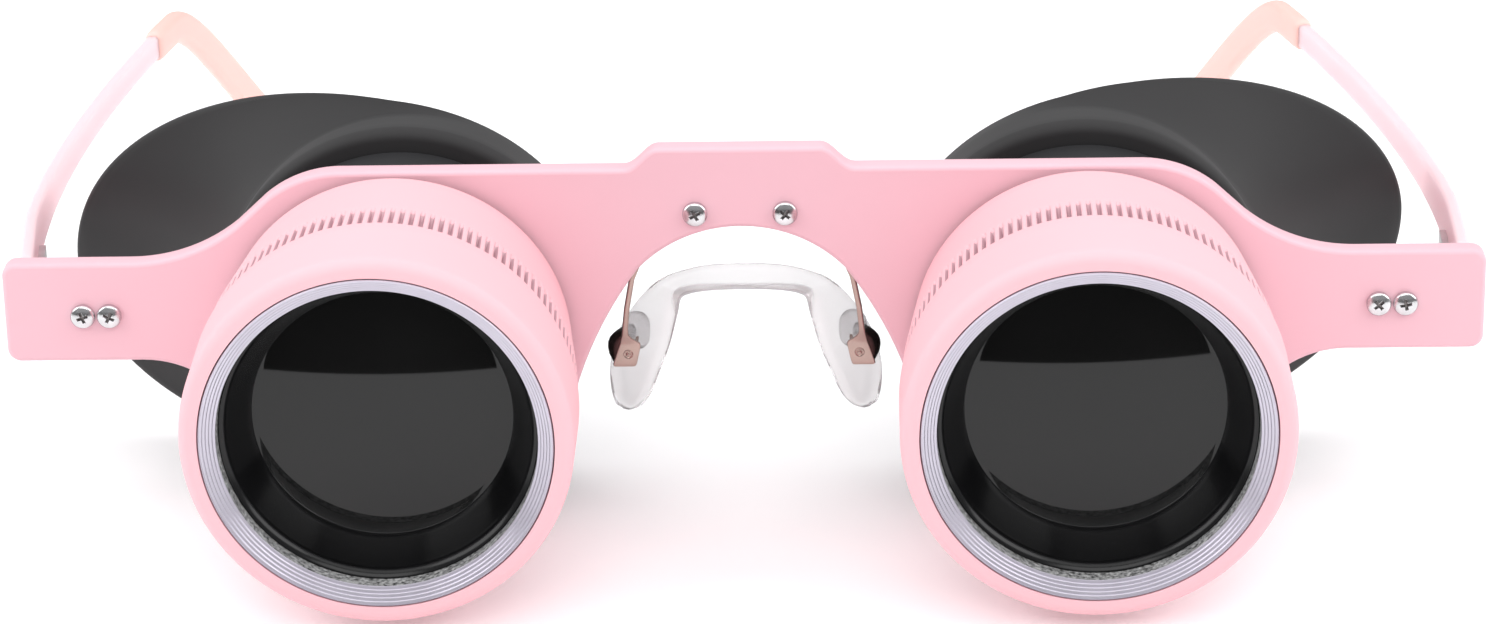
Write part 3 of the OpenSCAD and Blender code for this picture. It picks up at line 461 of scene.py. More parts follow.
SIDES = (("left", -1), ("right", 1))
bowl = [(EYE_LENS_RADIUS * i / 24, EYE_LENS_HOLLOW * (1 - (i / 24) ** 2)) for i in range(25)]
eye_lens_profile = [(r, EYE_LENS_FRONT + depth) for r, depth in bowl]
eye_lens_profile += [(r, EYE_LENS_BACK - depth) for r, depth in reversed(bowl)]
for side, sign in SIDES:
    for piece in ("body_tube", "eyepiece_housing", "eyepiece_ring"):
        dress(side + "_" + piece, black_plastic)
    eye_lens = turned(side + "_eye_lens", sign * BARREL_X, eye_lens_profile, dark_glass, solid=True)
    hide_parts(side + "_eyepiece_lens")
    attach(eye_lens, "frame")

# Eyecups.
# Matt black silicone, moulded in one piece: a round collar that grips the eyepiece tube, and a
# flared wing that reaches back round the temple side of the eye to keep light out.
COLLAR_RADIUS = 21.9
COLLAR_BACK = 15.6
COLLAR_WALL = 1.8
COLLAR_CORNER = 1.4
COLLAR_INNER_CORNER = 1.0
CUP_FRONT = 10.0
CUP_FRONT_MIDDLE = 18.0
CUP_WALL_BACK = 12.4
CUP_WALL_MIDDLE = 17.0
CUP_BORE = 15.55
BORE_FRONT_CHAMFER = 0.25
BORE_BACK_CHAMFER = 0.2
NASAL_RIM = 22.3
NASAL_ROUND = 2.05
WING_BACK = 29.5
WING_WALL = 1.45
WING_SWEEP_POWER = 1.1
FLARE_START = 1.5
FLARE_RUN = 9
FLARE_DROP = 3.6
BEND_OUT = 0.34
BEND_OUT_LOSS = 0.08
BEND_BACK = 0.6
INNER_ROOT_BACK = 17.0
INNER_COLLAR_PLACES = (16.0, 14.8, 13.6)
INNER_BEND_SHARE = 0.8
eyecup_rubber = finish("eyecup_rubber", tint(33, 32, 33), 0.6, mottle=0.05, mottle_scale=45.0,
                       grain=0.005, grain_scale=1500.0, Sheen_Weight=0.12, Sheen_Roughness=0.5,
                       Specular_IOR_Level=0.35)
# How each soft wing lies: the place of its highest point, its reach, its height above and below,
# how square its temple side is, how far back its nasal rim lies, and its turn in degrees.
WINGS = {
    "left": {"peak": 8.3, "reach": 42.4, "above": 24.0, "below": 23.4,
             "round": 2.0, "nasal": 17.2, "turn": -3.3},
    "right": {"peak": 5.5, "reach": 39.9, "above": 22.9, "below": 23.3,
              "round": 1.93, "nasal": 18.0, "turn": 5.8},
}


def wing_rim(turn, wing):
    """The rim of the wing at a turn round it: across from the barrel axis, up, and back."""
    c, s = math.cos(turn), math.sin(turn)
    half = wing["reach"] - wing["peak"] if c > 0 else wing["peak"] + NASAL_RIM
    power = 2 / (wing["round"] if c > 0 else NASAL_ROUND)
    x = wing["peak"] + half * math.copysign(abs(c) ** power, c)
    z = (wing["above"] if s > 0 else wing["below"]) * math.copysign(abs(s) ** power, s)
    sweep = (max(0.0, x) / wing["reach"]) ** WING_SWEEP_POWER
    return x, z, wing["nasal"] + (WING_BACK - wing["nasal"]) * sweep


def bow(a, b, c, t):
    """A point on a curve from a to c that bends towards b."""
    return a * (1 - t) ** 2 + b * 2 * t * (1 - t) + c * t * t


def cup_section(radius, back):
    """The cup's wall from its bore over the collar and the wing's rim and back inside."""
    spread = radius - COLLAR_RADIUS
    flare = min(1.0, max(0.0, (spread - FLARE_START) / FLARE_RUN))
    root = Vector((COLLAR_RADIUS, COLLAR_BACK - FLARE_DROP * flare))
    bend_out = BEND_OUT - BEND_OUT_LOSS * flare
    bend = root + Vector((bend_out * spread, BEND_BACK * (back - root.y)))
    edge = Vector((radius, back))
    corner_back = CUP_FRONT + COLLAR_CORNER
    section = [(CUP_BORE, CUP_FRONT + BORE_FRONT_CHAMFER), (CUP_BORE + BORE_FRONT_CHAMFER, CUP_FRONT),
               (CUP_FRONT_MIDDLE, CUP_FRONT)]
    section += arc(COLLAR_RADIUS - COLLAR_CORNER, corner_back, COLLAR_CORNER, -90, 0, 6)
    section += [(COLLAR_RADIUS, corner_back + (root.y - corner_back) * i / 4) for i in (1, 2, 3)]
    outer = [bow(root, bend, edge, i / 16) for i in range(17)]
    section += [tuple(p) for p in outer[:-1]]
    way = (outer[-1] - outer[-2]).normalized()
    inward = Vector((-way.y, way.x))
    half_wall = WING_WALL / 2
    lip = edge - way * half_wall
    for t in (math.pi * i / 6 for i in range(7)):
        across, along = inward * (1 - math.cos(t)), way * math.sin(t)
        section.append(tuple(lip + (across + along) * half_wall))
    collar_inside = COLLAR_RADIUS - COLLAR_WALL
    inner_root = Vector((collar_inside, INNER_ROOT_BACK))
    inner_bend = bend + inward * WING_WALL * INNER_BEND_SHARE
    inner_edge = lip + inward * WING_WALL
    section += [tuple(bow(inner_root, inner_bend, inner_edge, 1 - i / 12)) for i in range(1, 13)]
    section += [(collar_inside, y) for y in INNER_COLLAR_PLACES]
    section += arc(collar_inside - COLLAR_INNER_CORNER, CUP_WALL_BACK + COLLAR_INNER_CORNER,
                   COLLAR_INNER_CORNER, 0, -90, 4)
    section += [(CUP_WALL_MIDDLE, CUP_WALL_BACK), (CUP_BORE + BORE_BACK_CHAMFER, CUP_WALL_BACK),
                (CUP_BORE, CUP_WALL_BACK - BORE_BACK_CHAMFER)]
    return section


for side, sign in SIDES:
    wing = WINGS[side]
    rings = []
    for i in range(180):
        x, z, back = wing_rim(2 * math.pi * i / 180, wing)
        turn = math.atan2(z, x) + math.radians(wing["turn"])
        rings.append([at(sign * (BARREL_X + r * math.cos(turn)), y, r * math.sin(turn))
                      for r, y in cup_section(math.hypot(x, z), back)])
    points, faces = skin(rings, loop=True)
    cup = new_piece(side + "_cup_rubber", points, faces, eyecup_rubber, sharp=60)
    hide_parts(side + "_eyecup")
    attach(cup, side + "_cup")

# Objective cells.
# A black cell slides in each body tube and carries the objective, 8 mm inside the mouth, behind
# a glossy black cone. Its shallow coated dome mirrors the table, and above that the dark floor.
MOUTH_RADIUS = 17.9
CELL_FACE = -27.7
CELL_STEP = -24.6
CELL_PLAY = 0.05
LENS_RADIUS = 14.65
LENS_SEAT = 15.9
LENS_FRONT = -22.5
LENS_BULGE = 0.85
LENS_EDGE = 2.8
CONE_FRONT = -28.1
CONE_BODY = 17.45
CONE_WALL = 0.3
CONE_LIP = 0.12
CONE_HOLLOW = 0.1
CONE_EDGE = 0.1
CONE_CREST_DROP = 0.04
lens_black = finish("lens_black", tint(12, 12, 13), 0.19, mottle=0.2, mottle_scale=120.0,
                    grain=0.006, grain_scale=500.0, Specular_IOR_Level=0.32)
front_glass = finish("front_glass", (0.006, 0.006, 0.006), 0.035, mottle=0.25, mottle_scale=40.0,
                     IOR=1.43)
cone_bore = LENS_RADIUS + CELL_PLAY
cone_lip = LENS_FRONT - CONE_LIP
cone_flange = MOUTH_RADIUS - CELL_PLAY
cone_seat = LENS_SEAT - CELL_PLAY


def cone_slope(share):
    """A point of the cone's slightly hollow front, from its outer edge to its lip at the lens."""
    outer, inner = CONE_BODY - CONE_WALL, cone_bore + CONE_HOLLOW
    hollow = CONE_HOLLOW * math.sin(math.pi * share)
    return outer + (inner - outer) * share + hollow, CELL_FACE + (cone_lip - CELL_FACE) * share


lens_profile = [(LENS_RADIUS * i / 32, LENS_FRONT - LENS_BULGE * (1 - (i / 32) ** 2)) for i in range(33)]
lens_back = LENS_FRONT + LENS_EDGE
lens_profile += [(LENS_SEAT, LENS_FRONT), (LENS_SEAT, lens_back), (0.0, lens_back)]
cone_profile = [
    (cone_flange, CONE_FRONT + CONE_EDGE / 2), (cone_flange, CELL_FACE), (CONE_BODY, CELL_FACE),
    (CONE_BODY, CELL_STEP), (cone_seat, CELL_STEP), (cone_seat, LENS_FRONT), (cone_bore, LENS_FRONT),
    (cone_bore, cone_lip + CONE_EDGE), *(cone_slope(i / 6) for i in range(6, -1, -1)),
    (cone_flange - 2 * CONE_EDGE, CONE_FRONT + CONE_CREST_DROP), (cone_flange - CONE_EDGE, CONE_FRONT),
]
for side, sign in SIDES:
    dress(side + "_objective_tube", black_plastic)
    glass = turned(side + "_front_lens", sign * BARREL_X, lens_profile, front_glass, solid=True)
    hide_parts(side + "_objective_lens")
    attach(glass, side + "_objective")
    cone = turned(side + "_front_cone", sign * BARREL_X, cone_profile, lens_black)
    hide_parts(side + "_lens_cone")
    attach(cone, side + "_objective")

# Bright rings.
# Turned aluminium with a faint lilac cast, pressed on the cell: fine steps run down into the
# mouth, and the straight wall behind them is dark grey with pale specks, painted shade over rough metal.
BARREL_FACE = -31.3
RING_RADIUS = 19.74
RING_BACK = -25.7
RING_SKIRT_BORE = 18.43
RING_EDGE = 0.1
RING_EDGE_WIDTH = 0.08
FUNNEL_DEPTH = 1.45
MOUTH_MIDDLE = -28.6
RING_STEPS = 5
MOUTH_SHADE_SETBACK = 0.2
MOUTH_SHADE_PLAY = 0.02
# One step's form, in shares of its tread inwards and of its rise backwards.
STEP_FORM = ((0.08, 0.05), (0.14, 0.42), (0.3, 0.5), (0.86, 0.72), (0.96, 0.86))
ring_metal = finish("ring_metal", tint(198, 193, 205), 0.34, mottle=0.03, mottle_scale=300.0,
                    grain=0.003, grain_scale=2500.0, Metallic=0.75)
# Painted shade: the rough metal wall inside the mouth is coloured dark grey with pale specks for the
# shadow it lies in.
mouth_painted_shade = finish("mouth_painted_shade", (0.3, 0.3, 0.3), 0.4, mottle=1.0, mottle_scale=2400.0,
                     grain=0.04, grain_scale=3000.0)
ring_profile = [(RING_RADIUS, BARREL_FACE + RING_EDGE), (RING_RADIUS - RING_EDGE_WIDTH, BARREL_FACE)]
tread = (RING_RADIUS - RING_EDGE - MOUTH_RADIUS) / RING_STEPS
rise = FUNNEL_DEPTH / RING_STEPS
for i in range(RING_STEPS):
    r, y = RING_RADIUS - RING_EDGE - i * tread, BARREL_FACE + i * rise
    ring_profile += [(r - tread * inward, y + rise * back) for inward, back in STEP_FORM]
ring_profile += [(MOUTH_RADIUS, y) for y in (BARREL_FACE + FUNNEL_DEPTH, MOUTH_MIDDLE, CELL_FACE)]
ring_profile += [(RING_SKIRT_BORE, CELL_FACE), (RING_SKIRT_BORE, RING_BACK), (RING_RADIUS, RING_BACK)]


def in_mouth(x, y, z):
    """Tells the straight wall of a ring's mouth, which gets painted shade, from its steps and its
    outside.
    """
    off_axis = math.hypot(abs(x) - BARREL_X, z)
    return y > BARREL_FACE + FUNNEL_DEPTH + MOUTH_SHADE_SETBACK and off_axis < MOUTH_RADIUS + MOUTH_SHADE_PLAY


for side, sign in SIDES:
    ring = turned(side + "_bright_ring", sign * BARREL_X, ring_profile, ring_metal, steps=200, sharp=22)
    paint(ring, mouth_painted_shade, in_mouth)
    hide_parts(side + "_lens_ring")
    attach(ring, side + "_objective")

# Focus barrels.
# Satin pink mouldings that turn to focus. They widen towards the front, where a band of milled
# grooves, deep in front and running out behind, gives the fingers grip below the smooth bezel.
BARREL_BACK = -1.0
REAR_RADIUS = 20.16
TAPER_WIDENING = 1.42
BARREL_BORE = 19.06
BORE_MIDDLE = -23.75
BEZEL_RADIUS = 22.0
BEZEL_CORNER = 1.3
BEZEL_PLACES = (-22.0, -25.0, -28.0)
RING_BORE = 19.86
RING_BORE_EDGE = 0.05
RING_BORE_EDGE_DEPTH = 0.08
RING_SHOULDER = -25.4
BAND_RADIUS = 21.6
BAND_WIDENING = 0.24
BAND_SETBACK = 0.12
RIB_FRONT = -19.7
RIB_REAR = -14.3
RIB_RUN_OUT = 1.5
RIB_DEPTH = 0.75
RIBS = 120
# One rib and its groove: how deep each column of the mesh is cut, as a share of the full depth.
RIB_CUT = (0.0, 0.0, 0.0, 0.12, 0.92, 1.0, 0.92, 0.12)
GROOVE_SHADE_RADIUS = 21.42
GROOVE_SHADE_FRONT = RIB_FRONT - 0.1
GROOVE_SHADE_REAR = RIB_REAR - 0.2
# The rounded rear edge and the lip between band and bezel: how far inside the full radius, and
# how far in front of the barrel's back or of the ribs.
REAR_EDGE = ((0.25, 0.0), (0.06, 0.08), (0.0, 0.3))
BEZEL_LIP = ((0.14, 0.0), (0.03, 0.06), (0.0, 0.2))
barrel_pink = finish("barrel_pink", tint(236, 185, 192), 0.66, mottle=0.01, mottle_scale=30.0,
                     grain=0.003, grain_scale=1400.0, Specular_IOR_Level=0.14)
# Painted shade: the lower part of each groove gets a darker pink for the shade that gathers there.
groove_painted_shade = finish("groove_painted_shade", tint(204, 168, 176), 0.6, mottle=0.02, mottle_scale=30.0,
                     grain=0.003, grain_scale=1400.0, Specular_IOR_Level=0.2)
barrel_behind = [(BARREL_BORE, BORE_MIDDLE), (BARREL_BORE, BARREL_BACK)]
barrel_behind += [(REAR_RADIUS - inside, BARREL_BACK - ahead) for inside, ahead in REAR_EDGE]
taper_start = barrel_behind[-1][1]
taper_run = RIB_REAR - taper_start
barrel_behind += [(REAR_RADIUS + TAPER_WIDENING * i / 6, taper_start + taper_run * i / 6)
                  for i in range(1, 7)]
band_run = RIB_FRONT + BAND_SETBACK - RIB_REAR
barrel_band = [(BAND_RADIUS + BAND_WIDENING * i / 9, RIB_REAR + band_run * i / 9) for i in range(1, 10)]
barrel_front = [(BEZEL_RADIUS - inside, RIB_FRONT - ahead) for inside, ahead in BEZEL_LIP]
barrel_front += [(BEZEL_RADIUS, y) for y in BEZEL_PLACES]
barrel_front += arc(BEZEL_RADIUS - BEZEL_CORNER, BARREL_FACE + BEZEL_CORNER, BEZEL_CORNER, 0, -90, 10)
barrel_front += [
    (RING_BORE + RING_BORE_EDGE, BARREL_FACE), (RING_BORE, BARREL_FACE + RING_BORE_EDGE_DEPTH),
    (RING_BORE, RING_SHOULDER), (BARREL_BORE, RING_SHOULDER),
]


def barrel_section(depth):
    """The barrel's wall from its bore behind, over the band cut to a depth, to its bore in front."""
    cuts = [depth * min(1.0, (RIB_REAR - y) / RIB_RUN_OUT) for _, y in barrel_band]
    band = [(r - cut, y) for (r, y), cut in zip(barrel_band, cuts)]
    return barrel_behind + band + barrel_front


def in_groove(x, y, z):
    """Tells the lower part of the grooves, which gets painted shade, from the rest of a barrel."""
    off_axis = math.hypot(abs(x) - BARREL_X, z)
    return GROOVE_SHADE_FRONT < y < GROOVE_SHADE_REAR and off_axis < GROOVE_SHADE_RADIUS


sections = [barrel_section(RIB_DEPTH * cut) for cut in RIB_CUT]
columns = RIBS * len(RIB_CUT)
for side, sign in SIDES:
    dress(side + "_snap_ring", screw_chrome)
    rings = []
    for i in range(columns):
        t = 2 * math.pi * i / columns
        rings.append([at(sign * BARREL_X + r * math.cos(t), y, r * math.sin(t))
                      for r, y in sections[i % len(RIB_CUT)]])
    points, faces = skin(rings, loop=True)
    barrel = new_piece(side + "_grip_barrel", points, faces, barrel_pink, sharp=28)
    paint(barrel, groove_painted_shade, in_groove)
    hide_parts(side + "_focus_barrel")
    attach(barrel, side + "_barrel")

# Hinges.
# Small stamped steel hinges behind the end tabs: a plate with two knuckles on the front, a leaf
# with one knuckle on the arm, a headed pin through all three and two screws in the leaf.
hinge_steel = finish("hinge_steel", (0.8, 0.79, 0.79), 0.3, mottle=0.08, mottle_scale=500.0,
                     grain=0.01, grain_scale=2200.0, Metallic=1.0)
for side, sign in SIDES:
    for piece in ("hinge_plate", "hinge_pin", "temple_leaf"):
        dress(side + "_" + piece, hinge_steel)
    dress(side + "_leaf_screws", screw_chrome)

# Arms.
# Pale pink translucent plastic, 1.6 mm thick, deep at the hinge and slim behind. They bow
# outwards, turn in towards the ears and run on inside the soft tips.
ARM_THICKNESS = 1.6
ARM_CORNER = 0.42
ARM_TOP = 9.0
ARM_ROOT_HEIGHT = 9.4
ARM_END_HEIGHT = 3.1
TAPER_RUN = 18.0
BLADE_TRIM = 0.03
ROOT_TRIM = 0.25
SLEEVED_TRIM = 0.04
ARM_START = Vector((84.3, 3.1, 0))
ROOT_TURN = math.radians(6.5)
ROOT_LENGTH = 14
BOW_HANDLES = (Vector((86.9, 41, 0)), Vector((81.7, 74, 0)))
ARM_BEND = Vector((78.4, 89, 0))
BEND_PULL = 6.5
TIP_END = Vector((69, 118.5, -17.5))
TIP_END_WAY = Vector((0.34, -0.6, 0.75)).normalized()
TIP_END_PULL = 16
SLEEVE_START = 0.86
SLEEVE_EDGE_RUN = 0.02
PIVOT = Vector((80.9, 5.3, 0))
RIGHT_ARM_FOLD = math.radians(5.3)
arm_plastic = finish("arm_plastic", tint(238, 196, 201), 0.42, mottle=0.01, mottle_scale=40.0,
                     grain=0.003, grain_scale=1200.0, Subsurface_Weight=0.85, Subsurface_Scale=0.004,
                     Subsurface_Radius=(1.0, 0.85, 0.9))
root_way = Vector((math.sin(ROOT_TURN), math.cos(ROOT_TURN), 0))
arm_curve = [ARM_START + ROOT_LENGTH * root_way, *BOW_HANDLES, ARM_BEND]
end_way = (ARM_BEND - BOW_HANDLES[1]).normalized()
arm_end = ARM_BEND + Vector((0, 0, ARM_TOP - ARM_END_HEIGHT / 2))
tip_curve = [arm_end, arm_end + BEND_PULL * end_way, TIP_END + TIP_END_PULL * TIP_END_WAY, TIP_END]


def bezier(p, t):
    """A point on the curve from p[0] to p[3], with p[1] and p[2] as its handles."""
    u = 1 - t
    return u ** 3 * p[0] + 3 * t * u ** 2 * p[1] + 3 * t * t * u * p[2] + t ** 3 * p[3]


def arm_height(y):
    """How deep the blade is at a distance behind the plate."""
    return ARM_END_HEIGHT + (ARM_ROOT_HEIGHT - ARM_END_HEIGHT) * math.exp((ARM_START.y - y) / TAPER_RUN)


def arm_place(t):
    """Along the outer face: below 0 the straight root, 0 to 1 the bow, 1 to 2 the ear tip."""
    if t > 1:
        return bezier(tip_curve, t - 1)
    p = bezier(arm_curve, t) if t >= 0 else ARM_START + ROOT_LENGTH * (1 + t) * root_way
    return Vector((p.x, p.y, ARM_TOP - arm_height(p.y) / 2))


def flat_ring(middle, side_way, up_way, width, height, corner, steps=5):
    """A rounded rectangle of points round a place, in millimetres."""
    ring = []
    for quarter, (sx, sz) in enumerate(((1, 1), (-1, 1), (-1, -1), (1, -1))):
        for i in range(steps):
            t = math.pi / 2 * (quarter + i / (steps - 1))
            ring.append(middle + side_way * (sx * (width / 2 - corner) + corner * math.cos(t))
                        + up_way * (sz * (height / 2 - corner) + corner * math.sin(t)))
    return ring


def arm_ring(t, width, height, corner):
    """One section square to the arm, half a blade's thickness inside its outer face."""
    step = 0.004
    way = (arm_place(t + step) - arm_place(t - step)).normalized() if t >= 0 else root_way
    out = Vector((way.y, -way.x, 0)).normalized()
    middle = arm_place(t) - out * ARM_THICKNESS / 2
    return flat_ring(middle, out, out.cross(way), width, height, corner)


def bar(rings):
    """A closed skin over rings of places in millimetres."""
    return skin([[at(*p) for p in ring] for ring in rings])


def folded(rings, side, sign):
    """Puts an arm's rings in place. The right arm lies a little folded about its hinge."""
    fold = Matrix.Rotation(RIGHT_ARM_FOLD if side == "right" else 0, 4, "Z")
    lie = Matrix.Translation(PIVOT) @ fold @ Matrix.Translation(-PIVOT)
    spots = [[lie @ p for p in ring] for ring in rings]
    return [[(sign * p.x, p.y, p.z) for p in ring] for ring in spots]


def blade_ring(t):
    """One section of the blade, finer at its very root and under the ear tip's sleeve."""
    trim = ROOT_TRIM if t == -1.0 else BLADE_TRIM
    if t > SLEEVE_START + SLEEVE_EDGE_RUN:
        trim = SLEEVED_TRIM
    height = arm_height(arm_place(t).y) if t <= 1 else ARM_END_HEIGHT
    return arm_ring(t, ARM_THICKNESS - trim, height - trim, ARM_CORNER)


stations = [-1.0, -0.99, -0.9, -0.7, -0.5, -0.3, -0.1] + [i / 40 for i in range(1, 60)]
for side, sign in SIDES:
    points, faces = bar(folded([blade_ring(t) for t in stations], side, sign))
    arm = new_piece(side + "_arm_blade", points, faces, arm_plastic, sharp=50)
    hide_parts(side + "_temple_arm")
    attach(arm, side + "_arm")

# Ear tips.
# Soft translucent peach sleeves pushed over the ends of the arms. They bend down behind the
# ears and end in a rounded tip.
TIP_THICKNESS = 2.4
TIP_HEIGHT = 4.2
TIP_CORNER = 1.1
TIP_STEP = 0.02
# How the end rounds off: the place along the arm, and the share of the full section there.
TIP_ROUNDING = ((1.965, 0.97), (1.978, 0.88), (1.988, 0.74), (1.995, 0.55), (1.999, 0.3))
tip_rubber = finish("tip_rubber", tint(247, 195, 187), 0.42, mottle=0.015, mottle_scale=50.0,
                    grain=0.004, grain_scale=1000.0, Subsurface_Weight=0.5, Subsurface_Scale=0.002,
                    Subsurface_Radius=(1.0, 0.85, 0.8))
tip_rings = [arm_ring(SLEEVE_START, ARM_THICKNESS - 0.3, ARM_END_HEIGHT - 0.3, 0.4),
             arm_ring(SLEEVE_START + 0.001, ARM_THICKNESS + 0.15, ARM_END_HEIGHT + 0.35, 0.6),
             arm_ring(SLEEVE_START + 0.008, TIP_THICKNESS - 0.2, TIP_HEIGHT - 0.2, 0.9)]
tip_stations = [SLEEVE_START + SLEEVE_EDGE_RUN + i * TIP_STEP for i in range(54)]
tip_rings += [arm_ring(t, TIP_THICKNESS, TIP_HEIGHT, TIP_CORNER) for t in tip_stations]
tip_rings += [arm_ring(t, TIP_THICKNESS * share, TIP_HEIGHT * share, TIP_CORNER * share)
              for t, share in TIP_ROUNDING]
for side, sign in SIDES:
    points, faces = bar(folded(tip_rings, side, sign))
    tip = new_piece(side + "_ear_sleeve", points, faces, tip_rubber, sharp=60)
    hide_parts(side + "_temple_tip")
    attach(tip, side + "_arm")

# Nose bracket.
# Stamped from warm plated sheet: a strip behind the bridge and two thin arms that widen into the
# leaning front of a small clip, with a dished side in painted shade. A rivet in each clip holds the
# saddle.
STRIP_UP = 15
STRIP_WIDTH = 15.2
STRIP_HEIGHT = 2.8
STRIP_CORNER = 0.5
# Through the strip: the distance behind the plate's front, and how much smaller it is there.
STRIP_SECTIONS = ((2.8, 0.0), (3.4, 0.0), (3.5, 0.15))
# Down one arm: across, back, up, width and thickness.
CLIP_ARM = (
    (6.6, 3.15, 14.6, 1.6, 0.5), (8.2, 3.2, 13.2, 1.0, 0.7), (11.4, 3.5, 9.2, 0.7, 0.8),
    (12.9, 3.8, 5.4, 0.68, 0.8), (13.6, 4.2, 1.5, 0.68, 0.8), (13.9, 4.45, -1.3, 0.72, 0.8),
    (13.92, 4.55, -1.9, 0.85, 0.75), (13.82, 4.65, -2.4, 1.2, 0.65), (13.62, 4.72, -2.8, 1.75, 0.55),
    (13.38, 4.78, -3.1, 2.3, 0.45), (13.38, 4.8, -3.35, 2.5, 0.45), (13.58, 4.8, -4.1, 2.65, 0.45),
    (13.82, 4.8, -5.0, 2.75, 0.45), (14.02, 4.8, -5.75, 2.8, 0.45), (14.06, 4.8, -5.95, 2.7, 0.42),
    (14.08, 4.8, -6.07, 2.4, 0.4),
)
CLIP_ARM_ROUND = 0.32
# The two side walls of a clip: how far across each starts, and how it leans outwards below.
CLIP_WALLS = ((12.6, 0.21), (14.5, 0.29))
CLIP_WALL_HEIGHTS = (-3.3, -4.2, -5.1, -6.0)
CLIP_WALL_Y = 6.0
WALL_THICKNESS = 0.35
WALL_DEPTH = 2.4
WALL_CORNER = 0.12
# Down the dished side of one clip: height and how far out it stands.
CLIP_SIDE = ((-1.9, 14.35), (-2.2, 14.9), (-2.6, 15.4), (-3.1, 15.82), (-3.7, 16.05), (-4.3, 16.1),
             (-5.0, 16.0), (-5.6, 15.72), (-6.0, 15.4))
DISH_ROOT_X = 13.95
DISH_ROOT_LEAN = 0.28
DISH_FRONT = 4.95
DISH_DEPTH = 1.7
DISH_BACK = 6.95
DISH_LIP = 0.12
RIVET_X = 13.6
RIVET_Z = -4.5
RIVET_FACE = 4.575
RIVET_STEPS = 32
# A hollow rivet's half section: radius, and distance behind its face.
RIVET_SECTION = (
    (0.0, -0.14), (0.16, -0.13), (0.27, -0.07), (0.31, 0.02), (0.36, 0.03), (0.43, -0.05),
    (0.52, -0.06), (0.58, 0.0), (0.58, 0.3), (0.3, 0.34), (0.3, 1.8), (0.0, 1.8),
)
bracket_metal = finish("bracket_metal", tint(174, 151, 142), 0.2, mottle=0.06, mottle_scale=300.0,
                       grain=0.004, grain_scale=1800.0, Metallic=0.8)
# Painted shade and painted dark reflection: the dished sides are the bracket metal in a darker copy.
bracket_shade = finish("bracket_shade", tint(82, 71, 67), 0.26, mottle=0.3, mottle_scale=260.0,
                       grain=0.004, grain_scale=1800.0, Metallic=0.9)
CROSS, BACK, RISE = Vector((1, 0, 0)), Vector((0, 1, 0)), Vector((0, 0, 1))


def clip_wall(sign, start, lean):
    """A side wall of a clip, that leans outwards as it goes down."""
    rings = []
    for z in CLIP_WALL_HEIGHTS:
        middle = Vector((sign * (start - lean * (z - CLIP_WALL_HEIGHTS[0])), CLIP_WALL_Y, z))
        rings.append(flat_ring(middle, CROSS, BACK, WALL_THICKNESS, WALL_DEPTH, WALL_CORNER))
    return bar(rings)


def dished_side(sign):
    """The dished side of a clip, a quarter of an oval at each height, closed behind."""
    rings = []
    for z, out in CLIP_SIDE:
        root_x = DISH_ROOT_X - DISH_ROOT_LEAN * (z - CLIP_SIDE[0][0])
        dish = [(root_x + (out - root_x) * math.sin(t), DISH_FRONT + DISH_DEPTH * (1 - math.cos(t)))
                for t in (math.pi * i / 12 for i in range(7))]
        dish += [(out - DISH_LIP, DISH_BACK), (root_x, DISH_BACK)]
        rings.append([(sign * x, y, z) for x, y in dish])
    return bar(rings)


def strip_ring(y, trim):
    """One section of the strip behind the bridge, at a distance behind the plate's front."""
    middle = Vector((0, y, STRIP_UP))
    return flat_ring(middle, CROSS, RISE, STRIP_WIDTH - trim, STRIP_HEIGHT - trim, STRIP_CORNER)


def clip_arm(sign):
    """The thin arm from the strip down to a clip, with the clip's leaning front."""
    rings = []
    for x, y, z, width, thickness in CLIP_ARM:
        corner = min(width, thickness) * CLIP_ARM_ROUND
        rings.append(flat_ring(Vector((sign * x, y, z)), CROSS, BACK, width, thickness, corner))
    return bar(rings)


metal_parts = [bar([strip_ring(y, trim) for y, trim in STRIP_SECTIONS])]
for sign in (-1, 1):
    metal_parts.append(clip_arm(sign))
    metal_parts += [clip_wall(sign, start, lean) for start, lean in CLIP_WALLS]
bracket = new_piece("nose_clips", *gather(metal_parts), bracket_metal, sharp=40)
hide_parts("nose_bracket")
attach(bracket, "frame")
dished_parts = [dished_side(sign) for sign in (-1, 1)]
dished = new_piece("nose_clip_sides", *gather(dished_parts), bracket_shade, sharp=50)
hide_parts("nose_bracket")
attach(dished, "frame")
rivet_profile = [(r, RIVET_FACE + deep) for r, deep in RIVET_SECTION]
rivet_parts = [turned_skin(x, RIVET_Z, rivet_profile, RIVET_STEPS, True) for x in (-RIVET_X, RIVET_X)]
rivets = new_piece("nose_rivets", *gather(rivet_parts), bracket_metal, sharp=50)
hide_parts("nose_pad_screws")
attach(rivets, "frame")

# Nose saddle.
# Clear soft silicone in one strip: it arches over the nose and widens into two leaning pads with
# a raised edge. The pads' stems sit in the bracket's clips.
EDGE_HALF_THICKNESS = 0.48
EDGE_THICKENING = 0.42
HOLLOW_SHARE = 0.22
FOOT_PULL = 0.3
LOOK_AHEAD = 0.05
RINGS_PER_PLACE = 8
# From the middle of the bridge to the foot of one pad: the front edge and the back edge.
SADDLE_EDGES = (
    ((0.0, 6.1, 3.2), (0.0, 11.1, 4.1)), ((3.6, 6.1, 3.15), (4.4, 11.1, 3.85)),
    ((6.4, 6.2, 2.8), (8.0, 11.2, 2.8)), ((7.6, 6.5, 1.9), (10.7, 11.5, 1.2)),
    ((8.1, 6.8, -0.6), (13.0, 12.0, -1.4)), ((9.0, 7.1, -4.4), (15.0, 12.6, -5.0)),
    ((10.3, 7.6, -8.0), (15.95, 12.9, -9.0)), ((11.5, 8.4, -11.2), (15.85, 12.6, -12.0)),
    ((12.7, 9.4, -13.1), (15.25, 11.8, -13.6)), ((13.7, 10.2, -14.0), (14.5, 10.9, -14.1)),
)
FRONT_EDGE, BACK_EDGE = zip(*SADDLE_EDGES)
